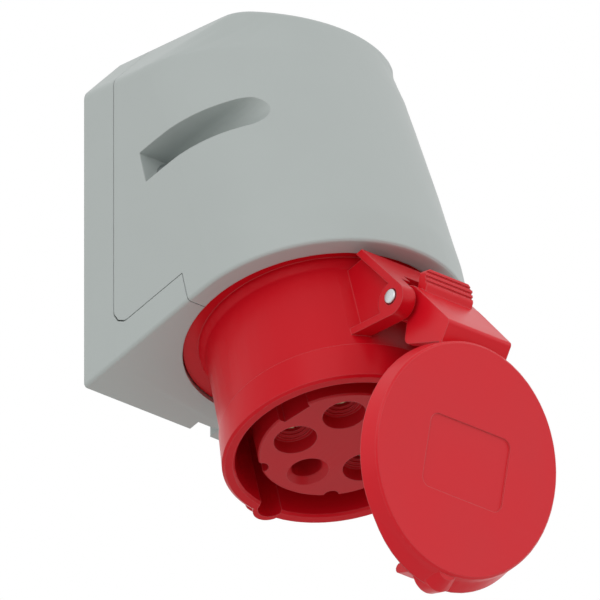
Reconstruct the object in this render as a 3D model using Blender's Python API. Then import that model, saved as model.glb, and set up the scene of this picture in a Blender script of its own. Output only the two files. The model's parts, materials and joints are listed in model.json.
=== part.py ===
"""Surface-mounted industrial wall socket, five pins, with a sprung hinged lid.

The back box is screwed to the wall and the hood closes it. Between them they
trap the flange of the socket housing, which points down and forward. The
contact carrier stands inside the housing, and the lid hangs on a steel pin
between two ears at the housing's front.

Frame: X across, Z up, the wall is the plane Y = 0 and the object stands out
towards -Y. The origin is on the back face, halfway up. Lengths are in metres.
"""

import math

import bmesh
import bpy
from mathutils import Matrix, Vector

MM = 0.001
GAP = 0.3 * MM

# Box, seen from the front
BOX_WIDTH = 94.0 * MM
BOX_HEIGHT = 112.4 * MM
ORIGIN_HEIGHT = 52.0 * MM
SHOULDER_CHAMFER = 15.4 * MM
SHOULDER_ROUNDING = 4.0 * MM
WALL = 3.0 * MM
BACK_WALL = 2.6 * MM
BOTTOM_WALL = 3.2 * MM

# Box, seen from the side
NOSE_TOP_REACH = 63.4 * MM
NOSE_SLOPE = math.radians(22.0)
NOSE_EDGE_RADIUS = 2.0 * MM
BOTTOM_EDGE_RADIUS = 1.2 * MM
COLLAR_HEIGHT = 12.0 * MM
COLLAR_BLEND = 24.0 * MM
CORNER_SOFTNESS = 5.0 * MM

# Seam between back box and hood
SEAM_DEPTH = 13.1 * MM
SEAM_RISE = 10.3 * MM
SEAM_CORNER_RADIUS = 5.0 * MM
SEAM_BEHIND_AXIS = 5.4 * MM

# Hood screws in their scoops, square to the socket axis and measured from it
SCOOP_X = BOX_WIDTH / 2 - 9.5 * MM
SCOOP_RADIUS = 5.5 * MM
SCOOP_WALL = 2.0 * MM
SCOOP_SEAT = -11.6 * MM
SCOOP_ALONG = -53.3 * MM
HOOD_SCREW_RADIUS = 1.8 * MM
HOOD_SCREW_HEAD_RADIUS = 3.6 * MM
HOOD_SCREW_HEAD_HEIGHT = 2.4 * MM
HOOD_SCREW_END = -33.3 * MM

# What the wall side carries
WALL_HOLE_RADIUS = 2.5 * MM
WALL_HOLE_X = BOX_WIDTH / 2 - 21.0 * MM
WALL_HOLE_HEIGHTS = (26.0 * MM, BOX_HEIGHT - 20.4 * MM)
ENTRY_RADIUS = 11.0 * MM
ENTRY_HEIGHT = BOX_HEIGHT - 32.4 * MM
GROMMET_FLANGE = 2.5 * MM
GROMMET_THICKNESS = 1.6 * MM
DRAIN_WIDTH = 8.1 * MM
DRAIN_DEPTH = 3.6 * MM

# Socket axis: its tilt from the vertical and where it crosses the flange face
TILT = math.radians(15.0)
AXIS_DEPTH = 51.0 * MM
AXIS_HEIGHT = 15.2 * MM
BOTTOM_FACE = 1.5 * MM

# Socket housing, along the axis from the flange face
FLANGE_RADIUS = 40.1 * MM
FLANGE_THICKNESS = 2.0 * MM
TRAPPED_RADIUS = 43.0 * MM
TRAPPED_THICKNESS = 2.6 * MM
LIP_THICKNESS = 2.2 * MM
COLLAR_RING_RADIUS = 45.6 * MM
BODY_FOOT_RADIUS = 36.0 * MM
BODY_RADIUS = 34.8 * MM
BODY_OFFSET = 1.5 * MM
RIM_RADIUS = 36.1 * MM
RIM_DEPTH = 44.8 * MM
RIM_CHAMFER = 0.8 * MM
FRONT_BAND = 11.6 * MM
BAND_STEP = 0.7 * MM
BORE_RADIUS = 32.1 * MM
FLOOR_DEPTH = 6.0 * MM
FLOOR_THICKNESS = 5.0 * MM
REAR_POCKET_RADIUS = 33.0 * MM
KEY_CENTRE = 33.0 * MM
KEY_OUTER_RADIUS = 6.7 * MM
KEY_END_RADIUS = 5.0 * MM
KEY_END = 4.0 * MM
KEY_GROOVE_RADIUS = 4.2 * MM
KEY_START = 10.0 * MM

# Contact carrier and what stands in it
CARRIER_RADIUS = 24.8 * MM
CARRIER_BEHIND_RIM = 1.9 * MM
CARRIER_CHAMFER = 0.5 * MM
CARRIER_SHOULDER_RADIUS = 31.5 * MM
CARRIER_SHOULDER_THICKNESS = 4.0 * MM
CARRIER_TAIL = 2.7 * MM
CONTACT_COUNT = 5
CONTACT_CIRCLE = 14.7 * MM
LIVE_MOUTH = ((6.65 * MM, 4.5 * MM), (5.5 * MM, 0.7 * MM), (4.6 * MM, 0.8 * MM))
EARTH_MOUTH_RADIUS = 6.5 * MM
EARTH_BORE_RADIUS = 4.7 * MM
EARTH_MOUTH_DEPTH = 2.0 * MM
LIVE_SLEEVE = (2.5 * MM, 3.5 * MM, 6.6 * MM)
EARTH_SLEEVE = (3.5 * MM, 4.4 * MM, 10.0 * MM)
SLEEVE_BORE_DEPTH = 26.0 * MM
TERMINAL_RADIUS = 4.7 * MM
TERMINAL_LENGTH = 11.0 * MM
WIRE_HOLE_RADIUS = 2.3 * MM
WIRE_HOLE_DEPTH = 8.0 * MM
TERMINAL_SCREW_RADIUS = 1.5 * MM
TERMINAL_SCREW_HEAD_RADIUS = 2.3 * MM
TERMINAL_SCREW_HEAD_HEIGHT = 1.8 * MM
RETAINER_RADIUS = 22.5 * MM
RETAINER_THICKNESS = 3.0 * MM
SMALL_SCREW_RADIUS = 1.5 * MM
SMALL_SCREW_HEAD_RADIUS = 2.6 * MM
SMALL_SCREW_HEAD_HEIGHT = 2.0 * MM
CARRIER_SCREW_CIRCLE = 28.6 * MM

# Hinge, measured from the socket axis and the flange face
HINGE_FORWARD = 49.5 * MM
HINGE_DEPTH = 27.7 * MM
LID_OPEN_ANGLE = math.radians(62.8)
PIN_RADIUS = 2.3 * MM
PIN_ENDS = (-20.0 * MM, 16.2 * MM)
EAR_OUTER = 19.4 * MM
EAR_INNER = 14.2 * MM
RIGHT_EAR = (13.2 * MM, 15.7 * MM)
EAR_RADIUS = 5.4 * MM
EAR_END_OFFSET = (-0.1 * MM, 0.8 * MM)
EAR_WEB_RECESS = 3.2 * MM
EAR_RIM = 2.4 * MM
EAR_LOWER_SLOPE = math.radians(14.0)
EAR_TOP_EDGE = 4.8 * MM
EAR_TOP_SLOPE = math.radians(61.0)
PLATE_THICKNESS = 3.0 * MM
PLATE_LENGTH = 17.0 * MM
PLATE_SLOT_START = 13.0 * MM
PLATE_SLOT_HALF_WIDTH = 10.7 * MM

# Lid, measured from the hinge: reach towards the free end, lift off the axis
LID_FACE_LIFT = 23.5 * MM
LID_FACE_RADIUS = 36.0 * MM
LID_FACE_SHIFT = 0.8 * MM
LID_RIM_RADIUS = 37.0 * MM
LID_EDGE_RADIUS = 0.6 * MM
LID_SHELL = 2.2 * MM
LID_HOLLOW_RADIUS = 34.8 * MM
LID_CLEARANCE = 0.35 * MM
LID_LIP_SHIFT = 5.4 * MM
LID_LIP_RADIUS = 33.5 * MM
LID_LIP_TOP = 34.6 * MM
LID_KEY_WALL = 1.1 * MM
LID_KEY_CLEARANCE = 0.8 * MM
LID_BADGE = (32.0 * MM, 23.0 * MM, 3.0 * MM, 0.5 * MM)
HOOK_REACH = (78.6 * MM, 83.4 * MM)
HOOK_TIP_LIFT = 1.5 * MM
HOOK_HALF_WIDTH = 3.0 * MM
ARM_HALF_WIDTH = 12.6 * MM
ARM_WALL = 2.0 * MM
HUB_RADIUS = 5.6 * MM
ARM_RIDGE = (7.9 * MM, 21.0 * MM)
ARM_VALLEY = (14.2 * MM, 18.9 * MM)
ARM_RIDGE_RADIUS = 1.4 * MM
ARM_CHEEK = (13.1 * MM, 1.4 * MM)
ARM_CHEEK_RADIUS = 2.2 * MM
ARM_JOINT = 9.6 * MM
PANEL_FOOT_ANGLE = math.radians(36.0)
GRIP_HALF_WIDTH = 9.3 * MM
GRIP_REACH = 11.9 * MM
GRIP_LIFT = 2.3 * MM
GRIP_THICKNESS = 2.5 * MM
GRIP_CORNER = 1.5 * MM
GRIP_GROOVES = 3
GRIP_GROOVE_DEPTH = 0.5 * MM
GASKET_INNER_RADIUS = 30.6 * MM

# Torsion spring on the pin
SPRING_WIRE_RADIUS = 0.55 * MM
SPRING_COIL_RADIUS = 3.2 * MM
SPRING_TURNS = 7
SPRING_PITCH = 1.6 * MM
SPRING_STEPS = 10
SPRING_FIRST_ANGLE = 144.0
SPRING_LID_LEG = 4.0 * MM
SPRING_BODY_LEG = 9.0 * MM
SPRING_POCKET_HALF_WIDTH = 8.0 * MM
SPRING_POCKET_RADIUS = 6.0 * MM

# Facets
SHARP_ANGLE = 35.0
NOSE_SEGMENTS = 28
LARGE_SEGMENTS = 48
LID_SEGMENTS = 56
MEDIUM_SEGMENTS = 18
SMALL_SEGMENTS = 12

HINGE_BOTTOM_MARGIN = 10.0 * MM
WELD = 0.02 * MM
FAR = 200.0 * MM


def linear(hex_colour):
    """Turn an sRGB hex colour into the linear values that a shader takes."""
    channels = [int(hex_colour[i:i + 2], 16) / 255 for i in (1, 3, 5)]
    bent = [c / 12.92 if c <= 0.04045 else ((c + 0.055) / 1.055) ** 2.4 for c in channels]
    return (*bent, 1.0)


def material(name, hex_colour, roughness, metallic=0.0):
    """A Principled BSDF with one colour."""
    made = bpy.data.materials.new(name)
    made.use_nodes = True
    shader = made.node_tree.nodes["Principled BSDF"]
    shader.inputs["Base Color"].default_value = linear(hex_colour)
    shader.inputs["Roughness"].default_value = roughness
    shader.inputs["Metallic"].default_value = metallic
    made.diffuse_color = linear(hex_colour)
    return made


def make_object(name, bm):
    """Turn a bmesh into an object with flat faces that point outwards."""
    bmesh.ops.recalc_face_normals(bm, faces=bm.faces)
    bmesh.ops.connect_verts_nonplanar(bm, angle_limit=math.radians(0.01), faces=bm.faces)
    mesh = bpy.data.meshes.new(name)
    bm.to_mesh(mesh)
    bm.free()
    made = bpy.data.objects.new(name, mesh)
    bpy.context.scene.collection.objects.link(made)
    return made


def ladder_cap(bm, loop):
    """Close a loop with strips that join its two mirrored halves."""
    count = len(loop)
    for i in range((count - 1) // 2):
        corners = [loop[i], loop[i + 1], loop[count - 2 - i], loop[count - 1 - i]]
        bm.faces.new(list(dict.fromkeys(corners)))


def loft(name, rings, ring_shaped=False):
    """Skin a row of rings with equal point counts, with caps or round to the first ring."""
    bm = bmesh.new()
    loops = [[bm.verts.new(point) for point in ring] for ring in rings]
    pairs = list(zip(loops, loops[1:]))
    if ring_shaped:
        pairs.append((loops[-1], loops[0]))
    else:
        ladder_cap(bm, loops[0])
        ladder_cap(bm, loops[-1])
    for lower, upper in pairs:
        for i in range(len(lower)):
            j = (i + 1) % len(lower)
            bm.faces.new((lower[i], lower[j], upper[j], upper[i]))
    return make_object(name, bm)


def circle(radius, depth, segments, centre=(0.0, 0.0)):
    """Points of a circle across the local Z axis."""
    turns = [2 * math.pi * (i + 0.5) / segments for i in range(segments)]
    return [Vector((centre[0] + radius * math.cos(a), centre[1] + radius * math.sin(a), depth)) for a in turns]


def turned(name, profile, segments, centre=(0.0, 0.0), ring_shaped=False):
    """A turned solid about a line parallel to local Z, from (radius, depth) pairs."""
    rings = [circle(radius, depth, segments, centre) for radius, depth in profile]
    return loft(name, rings, ring_shaped)


def prism(name, outline, low, high, place):
    """Extrude a closed outline from low to high; place(a, b, c) gives each point."""
    bm = bmesh.new()
    bottom = [bm.verts.new(place(a, b, low)) for a, b in outline]
    top = [bm.verts.new(place(a, b, high)) for a, b in outline]
    bm.faces.new(bottom)
    bm.faces.new(top)
    for i in range(len(outline)):
        j = (i + 1) % len(outline)
        bm.faces.new((bottom[i], bottom[j], top[j], top[i]))
    return make_object(name, bm)


def arc(centre, radius, start, end, segments):
    """Points on an arc in a flat outline, angles in degrees."""
    steps = [math.radians(start + (end - start) * i / segments) for i in range(segments + 1)]
    return [(centre[0] + radius * math.cos(a), centre[1] + radius * math.sin(a)) for a in steps]


def rounded(points, radii, segments=4):
    """Round the corners of an open or closed outline; a radius of 0 keeps a corner sharp."""
    result = []
    for i, (point, radius) in enumerate(zip(points, radii)):
        here = Vector(point)
        if radius == 0:
            result.append(tuple(here))
            continue
        before = (Vector(points[i - 1]) - here).normalized()
        after = (Vector(points[(i + 1) % len(points)]) - here).normalized()
        half = before.angle(after) / 2
        centre = here + (before + after).normalized() * radius / math.sin(half)
        first = here + before * radius / math.tan(half) - centre
        last = here + after * radius / math.tan(half) - centre
        for k in range(segments + 1):
            spoke = first.lerp(last, k / segments).normalized() * radius
            result.append(tuple(centre + spoke))
    return result


def in_socket(tool):
    """Move a tool that was drawn in the socket frame to its place in the box."""
    tool.data.transform(socket_matrix())
    return tool


def combine(body, tool, operation):
    """Apply a Boolean at once and drop the tool."""
    bpy.context.view_layer.update()
    modifier = body.modifiers.new("combine", "BOOLEAN")
    modifier.operation = operation
    modifier.solver = "EXACT"
    modifier.object = tool
    depsgraph = bpy.context.evaluated_depsgraph_get()
    result = bpy.data.meshes.new_from_object(body.evaluated_get(depsgraph))
    body.modifiers.clear()
    old = body.data
    name = old.name
    body.data = result
    bpy.data.meshes.remove(old)
    result.name = name
    bpy.data.objects.remove(tool, do_unlink=True)
    bm = bmesh.new()
    bm.from_mesh(result)
    bmesh.ops.remove_doubles(bm, verts=bm.verts, dist=WELD)
    bmesh.ops.dissolve_degenerate(bm, edges=bm.edges, dist=WELD)
    bm.to_mesh(result)
    bm.free()


def cut(body, *tools):
    for tool in tools:
        combine(body, tool, "DIFFERENCE")
    return body


def fuse(body, *tools):
    for tool in tools:
        combine(body, tool, "UNION")
    return body


def settle(thing, finish, parent=None):
    """Give a piece its material and parent, smooth its round faces and keep its real edges sharp."""
    thing.data.materials.clear()
    thing.data.materials.append(finish)
    thing.data.shade_smooth()
    thing.data.set_sharp_from_angle(angle=math.radians(SHARP_ANGLE))
    thing.parent = parent


def copy_of(thing, name):
    made = bpy.data.objects.new(name, thing.data.copy())
    made.data.name = name
    bpy.context.scene.collection.objects.link(made)
    return made


def side_view(depth, height, x):
    """World point from its distance off the wall, height over the rear edge, and X."""
    return Vector((x, -depth, height - ORIGIN_HEIGHT))


def front_view(x, height, depth):
    return side_view(depth, height, x)


def socket_side(forward, along, x):
    """Point in the socket frame from a side view: forward of the axis, along it, and X."""
    return Vector((x, forward, along))


def lid_side(reach, lift, x):
    """Point in the lid frame: reach from the hinge to the free end, lift outwards, and X."""
    return Vector((x, -reach, lift))


def axis_to_side(forward, along):
    """A point of the socket's side view, as depth off the wall and height over the rear edge."""
    depth = AXIS_DEPTH + forward * math.cos(TILT) + along * math.sin(TILT)
    height = AXIS_HEIGHT + forward * math.sin(TILT) - along * math.cos(TILT)
    return depth, height


def box_ring(front_depth, front_height, tilt, half_width, nose_radius, rear_depth):
    """One horizontal or tilted section of the box: straight sides and a round nose."""
    centre_depth = front_depth - nose_radius * math.cos(tilt)
    centre_height = front_height - nose_radius * math.sin(tilt)
    corner = math.acos(min(half_width / nose_radius, 1.0))
    side_end = nose_radius * math.sin(corner)
    rear = (rear_depth - centre_depth) / math.cos(tilt)
    seam = (SEAM_DEPTH - centre_depth) / math.cos(tilt)
    softness = min(CORNER_SOFTNESS, nose_radius * (math.pi / 2 - corner) / 3, (side_end - rear) / 2)
    blend = corner + softness / nose_radius
    half = [(half_width, rear), (half_width, min(seam, (rear + side_end - softness) / 2))]
    start = Vector((half_width, side_end - softness))
    knee = Vector((half_width, side_end))
    end = Vector((nose_radius * math.cos(blend), nose_radius * math.sin(blend)))
    for k in range(4):
        t = k / 4
        half.append(tuple(start * (1 - t) ** 2 + knee * 2 * t * (1 - t) + end * t * t))
    for k in range(NOSE_SEGMENTS // 2):
        angle = blend + (math.pi / 2 - blend) * k / (NOSE_SEGMENTS // 2)
        half.append((nose_radius * math.cos(angle), nose_radius * math.sin(angle)))
    outline = half + [(0.0, nose_radius)] + [(-x, s) for x, s in reversed(half)]
    return [side_view(centre_depth + s * math.cos(tilt), centre_height + s * math.sin(tilt), x)
            for x, s in outline]


def nose_reach(height):
    """How far the sloped nose stands off the wall at a height."""
    return NOSE_TOP_REACH + (BOX_HEIGHT - height) * math.tan(NOSE_SLOPE)


def shoulder_half(half_width, top, chamfer, rounding):
    """Half widths and heights up the chamfered shoulder, with both its edges rounded."""
    tangent = rounding * math.tan(math.radians(22.5))
    lower = (half_width - rounding, top - chamfer - tangent)
    upper = (half_width - chamfer - tangent, top - rounding)
    return arc(lower, rounding, 0, 45, 3) + arc(upper, rounding, 45, 90, 4)


def box_solid(name, inset, rear_depth, bottom_inset, edge_radius):
    """The box's form, or its hollow when it is inset by the wall."""
    rings = []
    half_width = BOX_WIDTH / 2 - inset
    bottom = BOTTOM_FACE - bottom_inset
    for k in range(4 if edge_radius else 1):
        angle = math.pi / 2 * k / 3
        shrink = edge_radius * (1 - math.sin(angle))
        depth, height = axis_to_side(half_width - shrink, bottom - edge_radius * (1 - math.cos(angle)))
        rings.append(box_ring(depth, height, TILT, half_width - shrink, half_width - shrink, rear_depth))
    depth, height = axis_to_side(half_width, BOTTOM_FACE - COLLAR_HEIGHT)
    rings.append(box_ring(depth, height, TILT, half_width, half_width, rear_depth))
    for k in (1, 2, 3):
        level = height + COLLAR_BLEND * k / 3
        reach = nose_reach(level) - inset
        rings.append(box_ring(reach, level, TILT * (1 - k / 3), half_width, half_width, rear_depth))
    top = BOX_HEIGHT - inset
    chamfer = SHOULDER_CHAMFER - inset * (2 - math.sqrt(2))
    edge = NOSE_EDGE_RADIUS - inset if inset < NOSE_EDGE_RADIUS else 0.0
    outline = shoulder_half(half_width, top, chamfer, SHOULDER_ROUNDING)
    if edge:
        start = next(i for i, (width, level) in enumerate(outline) if level > top - edge)
        gap = top - edge - outline[start - 1][1]
        outline.insert(start, (outline[start - 1][0] - gap, top - edge))
    for width, level in outline:
        over = max(0.0, level - (top - edge))
        pulled = edge - math.sqrt(max(0.0, edge ** 2 - over ** 2))
        reach = nose_reach(level) - inset - pulled
        rings.append(box_ring(reach, level, 0.0, width, half_width - pulled, rear_depth))
    return loft(name, rings)


def along_y(name, profile, x, height, segments, ring_shaped=False):
    """A turned solid on a line from the wall forwards, from (radius, depth) pairs."""
    made = turned(name, profile, segments, ring_shaped=ring_shaped)
    turn = Matrix.Translation(side_view(0, height, x)) @ Matrix.Rotation(math.pi / 2, 4, "X")
    made.data.transform(turn)
    return made


def along_screw(name, profile, side):
    """A turned solid on a hood screw's line, in the socket frame, from (radius, forward) pairs."""
    made = turned(name, profile, SMALL_SEGMENTS)
    turn = Matrix.Translation((side * SCOOP_X, 0, SCOOP_ALONG)) @ Matrix.Rotation(-math.pi / 2, 4, "X")
    made.data.transform(turn)
    return made


def channel(name, radius, side, start):
    """A channel along a hood screw, round inside and open to the box's side."""
    bend = arc((side * SCOOP_X, SCOOP_ALONG), radius, 90 + side * 180, 90, 10)
    if side > 0:
        bend = arc((side * SCOOP_X, SCOOP_ALONG), radius, 270, 90, 10)
    out = side * BOX_WIDTH
    outline = [(out, bend[0][1])] + bend + [(out, bend[-1][1])]
    return prism(name, outline, start, FAR / 2, lambda x, along, forward: Vector((x, forward, along)))


def seam_outline(shift, towards_front):
    """Side view of all that lies in front of the seam, or behind it."""
    line_depth, line_height = axis_to_side(0, BOTTOM_FACE - SEAM_RISE - shift)
    wall_line = SEAM_DEPTH + shift
    corner_height = line_height + (wall_line - line_depth) * math.tan(TILT)
    end = axis_to_side(shift - SEAM_BEHIND_AXIS, BOTTOM_FACE - SEAM_RISE - shift)
    below = axis_to_side(shift - SEAM_BEHIND_AXIS, BOTTOM_FACE + HINGE_BOTTOM_MARGIN)
    path = [(wall_line, FAR), (wall_line, corner_height), end, below]
    radii = [0, SEAM_CORNER_RADIUS, 0, 0]
    if towards_front:
        path += [(FAR, -FAR / 4), (FAR, FAR)]
    else:
        path += [(-HINGE_BOTTOM_MARGIN, -HINGE_BOTTOM_MARGIN), (-HINGE_BOTTOM_MARGIN, FAR)]
    return rounded(path, radii + [0, 0])


def build_shell():
    """Back box and hood as one shell, before the seam parts them."""
    hollow = box_solid("hollow", WALL, BACK_WALL, BOTTOM_WALL, 0.0)
    floor_top = BOTTOM_FACE - BOTTOM_WALL
    trapped_top = -FLANGE_THICKNESS - TRAPPED_THICKNESS - GAP
    lip_top = trapped_top - LIP_THICKNESS
    collar = [(COLLAR_RING_RADIUS, lip_top), (COLLAR_RING_RADIUS, BOTTOM_FACE)]
    cut(hollow, in_socket(turned("collar", collar, LARGE_SEGMENTS)))
    for side in (-1, 1):
        cut(hollow, in_socket(channel("pillar", SCOOP_RADIUS + SCOOP_WALL, side, -FAR / 2)))
    shell = box_solid("shell", 0.0, 0.0, 0.0, BOTTOM_EDGE_RADIUS)
    cut(shell, hollow)
    mouth = FLANGE_RADIUS + 0.4 * MM
    groove = TRAPPED_RADIUS + GAP
    opening = [(mouth, BOTTOM_FACE + HINGE_BOTTOM_MARGIN), (mouth, floor_top), (groove, floor_top),
               (groove, trapped_top), (mouth, trapped_top), (mouth, lip_top - HINGE_BOTTOM_MARGIN)]
    cut(shell, in_socket(turned("opening", opening, LARGE_SEGMENTS)))
    return shell


def build_box(grey):
    """Part the shell along the seam and give each half its holes."""
    shell = build_shell()
    hood = copy_of(shell, "hood")
    front = prism("front_half", seam_outline(GAP / 2, True), -FAR, FAR, side_view)
    combine(hood, front, "INTERSECT")
    back = copy_of(shell, "back_box")
    rear = prism("rear_half", seam_outline(-GAP / 2, False), -FAR, FAR, side_view)
    combine(back, rear, "INTERSECT")
    bpy.data.objects.remove(shell, do_unlink=True)
    for side in (-1, 1):
        cut(hood, in_socket(channel("scoop", SCOOP_RADIUS, side, SCOOP_SEAT)))
        clear = HOOD_SCREW_RADIUS + 2 * GAP
        cut(hood, in_socket(along_screw("clearance", [(clear, -FAR / 4), (clear, SCOOP_SEAT + MM)], side)))
        tapped = HOOD_SCREW_RADIUS + GAP
        pilot = [(tapped, HOOD_SCREW_END - GAP), (tapped, SCOOP_SEAT)]
        cut(back, in_socket(along_screw("pilot", pilot, side)))
        for height in WALL_HOLE_HEIGHTS:
            hole = [(WALL_HOLE_RADIUS, -MM), (WALL_HOLE_RADIUS, 2 * BACK_WALL)]
            cut(back, along_y("wall_hole", hole, side * WALL_HOLE_X, height, SMALL_SEGMENTS))
    entry = [(ENTRY_RADIUS, -MM), (ENTRY_RADIUS, 2 * BACK_WALL)]
    cut(back, along_y("entry", entry, 0.0, ENTRY_HEIGHT, MEDIUM_SEGMENTS))
    half = DRAIN_WIDTH / 2
    notch = [(-half, -DRAIN_DEPTH), (half, -DRAIN_DEPTH), (half, DRAIN_DEPTH), (-half, DRAIN_DEPTH)]
    cut(back, prism("notch", notch, -DRAIN_DEPTH, DRAIN_DEPTH, front_view))
    settle(hood, grey)
    settle(back, grey)


def build_hood_screws(steel):
    """Two long screws that pull the hood onto the back box."""
    under = SCOOP_SEAT + GAP
    top = under + HOOD_SCREW_HEAD_HEIGHT
    profile = [(HOOD_SCREW_RADIUS, HOOD_SCREW_END), (HOOD_SCREW_RADIUS, under),
               (HOOD_SCREW_HEAD_RADIUS, under),
               (HOOD_SCREW_HEAD_RADIUS, top - 0.6 * MM), (HOOD_SCREW_HEAD_RADIUS - 0.8 * MM, top)]
    for side, word in ((-1, "left"), (1, "right")):
        settle(in_socket(along_screw("hood_screw_" + word, profile, side)), steel)


def build_entry_grommet(rubber):
    """Membrane that closes the cable entry in the back wall."""
    plug = ENTRY_RADIUS - GAP
    flange = ENTRY_RADIUS + GROMMET_FLANGE
    inside = BACK_WALL + GAP
    sleeve = plug - GROMMET_THICKNESS
    profile = [(plug, GAP), (plug, inside), (flange, inside), (flange, inside + GROMMET_THICKNESS),
               (sleeve, inside + GROMMET_THICKNESS), (sleeve / 2, BACK_WALL + GAP), (MM, BACK_WALL),
               (MM, BACK_WALL - MM), (sleeve / 2, BACK_WALL - MM), (sleeve, GAP)]
    settle(along_y("entry_grommet", profile, 0.0, ENTRY_HEIGHT, MEDIUM_SEGMENTS, True), rubber)


def plate_point(distance, sunk):
    """A point on the plate over the ears: along it from its top edge, and under its face."""
    slope = Vector((math.cos(EAR_TOP_SLOPE), math.sin(EAR_TOP_SLOPE)))
    outward = Vector((slope.y, -slope.x))
    tangent = Vector(ear_end()) + outward * EAR_RADIUS
    top = tangent - slope * (tangent.y - EAR_TOP_EDGE) / slope.y
    return tuple(top + slope * distance - outward * sunk)


def ear_end():
    """Centre of the ear's round end."""
    return HINGE_FORWARD + EAR_END_OFFSET[0], HINGE_DEPTH + EAR_END_OFFSET[1]


def ear_outline(inset):
    """Side view of an ear, or of the web inside its rim when it is inset."""
    top_angle = math.degrees(EAR_TOP_SLOPE) - 90
    low_angle = math.degrees(EAR_LOWER_SLOPE) + 90
    round_end = arc(ear_end(), EAR_RADIUS - inset, low_angle, top_angle, 9)
    inside = BODY_RADIUS - 4.6 * MM
    low = round_end[0][1] - (round_end[0][0] - inside) * math.tan(EAR_LOWER_SLOPE)
    corner = plate_point(-inset, inset)
    return [(inside, low)] + round_end + [corner, (inside, corner[1])]


def build_ears(housing):
    """A ribbed ear with a boss for the pin, a plain ear on the right, and the plate that joins them."""
    pin = (HINGE_FORWARD, HINGE_DEPTH)
    inside = BODY_RADIUS - 4.6 * MM
    web_low = plate_point(PLATE_THICKNESS / math.sin(EAR_TOP_SLOPE), PLATE_THICKNESS)
    hole = arc(pin, PIN_RADIUS + GAP, 0, 360 - 24, 14)
    ear = prism("ear", ear_outline(0.0), -EAR_OUTER, -EAR_INNER, socket_side)
    recess = prism("recess", ear_outline(EAR_RIM), -EAR_OUTER - MM, EAR_WEB_RECESS - EAR_OUTER, socket_side)
    boss = prism("boss", arc(ear_end(), EAR_RADIUS + 0.2 * MM, 0, 360 - 15, 23), -EAR_OUTER - 2 * MM, -EAR_INNER,
                 socket_side)
    cut(recess, boss)
    cut(ear, recess)
    fuse(housing, ear)
    fuse(housing, prism("right_ear", ear_outline(GAP), *RIGHT_EAR, socket_side))
    edge = [plate_point(0, 0), plate_point(PLATE_LENGTH, 0), plate_point(PLATE_LENGTH, PLATE_THICKNESS),
            web_low, (inside, web_low[1]), (inside, EAR_TOP_EDGE)]
    left_end = (EAR_WEB_RECESS - EAR_OUTER - EAR_INNER) / 2
    plate = prism("plate", edge, left_end, sum(RIGHT_EAR) / 2, socket_side)
    slot = [plate_point(PLATE_SLOT_START, -MM), plate_point(PLATE_LENGTH + MM, -MM),
            plate_point(PLATE_LENGTH + MM, PLATE_THICKNESS + MM),
            plate_point(PLATE_SLOT_START, PLATE_THICKNESS + MM)]
    cut(plate, prism("slot", slot, -PLATE_SLOT_HALF_WIDTH, PLATE_SLOT_HALF_WIDTH, socket_side))
    fuse(housing, plate)
    cut(housing, prism("pin_hole", hole, -EAR_OUTER - MM, EAR_OUTER + MM, socket_side))


def build_socket_housing(socket, red):
    """Flange, body, front band and ears, moulded in one."""
    band_start = RIM_DEPTH - FRONT_BAND
    sections = [
        (TRAPPED_RADIUS, -FLANGE_THICKNESS - TRAPPED_THICKNESS, 0.0),
        (TRAPPED_RADIUS, -FLANGE_THICKNESS, 0.0),
        (FLANGE_RADIUS, -FLANGE_THICKNESS, 0.0),
        (FLANGE_RADIUS, 0.0, 0.0),
        (BODY_FOOT_RADIUS, 0.0, BODY_OFFSET / 2),
        (BODY_FOOT_RADIUS, 0.8 * MM, BODY_OFFSET / 2),
        (BODY_RADIUS, 4.0 * MM, BODY_OFFSET),
        (BODY_RADIUS + 0.7 * MM, band_start, BODY_OFFSET),
        (BODY_RADIUS + 0.7 * MM + BAND_STEP, band_start + 0.4 * MM, BODY_OFFSET),
        (RIM_RADIUS, RIM_DEPTH - RIM_CHAMFER, 0.0),
        (RIM_RADIUS - RIM_CHAMFER, RIM_DEPTH, 0.0),
    ]
    rings = [circle(radius, depth, LARGE_SEGMENTS, (0.0, offset)) for radius, depth, offset in sections]
    housing = loft("socket_housing", rings)
    key_ridge = [(KEY_OUTER_RADIUS, KEY_START), (KEY_OUTER_RADIUS, RIM_DEPTH - KEY_END),
                 (KEY_END_RADIUS, RIM_DEPTH - KEY_END), (KEY_END_RADIUS, RIM_DEPTH - 0.02 * MM)]
    fuse(housing, turned("key_ridge", key_ridge, MEDIUM_SEGMENTS, centre=(0.0, -KEY_CENTRE)))
    build_ears(housing)
    floor_back = FLOOR_DEPTH - FLOOR_THICKNESS
    neck = CARRIER_RADIUS + GAP
    bore = [(REAR_POCKET_RADIUS, -FLANGE_THICKNESS - TRAPPED_THICKNESS - MM),
            (REAR_POCKET_RADIUS, floor_back),
            (neck, floor_back), (neck, FLOOR_DEPTH), (BORE_RADIUS, FLOOR_DEPTH),
            (BORE_RADIUS, RIM_DEPTH - RIM_CHAMFER),
            (BORE_RADIUS + 1.5 * RIM_CHAMFER, RIM_DEPTH + 0.5 * RIM_CHAMFER)]
    cut(housing, turned("bore", bore, LARGE_SEGMENTS))
    groove = [(KEY_GROOVE_RADIUS, FLOOR_DEPTH), (KEY_GROOVE_RADIUS, RIM_DEPTH + MM)]
    cut(housing, turned("key_groove", groove, MEDIUM_SEGMENTS, centre=(0.0, 1 * MM - KEY_CENTRE)))
    for side in (-1, 1):
        hole = SMALL_SCREW_RADIUS + GAP
        cut(housing, turned("screw_hole", [(hole, floor_back - MM), (hole, FLOOR_DEPTH - MM)], SMALL_SEGMENTS,
                            centre=(side * CARRIER_SCREW_CIRCLE, 0.0)))
    settle(housing, red, socket)


def contact_places():
    """Centres of the five contacts, the earth first, on the keyway's side."""
    step = 2 * math.pi / CONTACT_COUNT
    return [(CONTACT_CIRCLE * math.sin(step * i), -CONTACT_CIRCLE * math.cos(step * i))
            for i in range(CONTACT_COUNT)]


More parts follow.
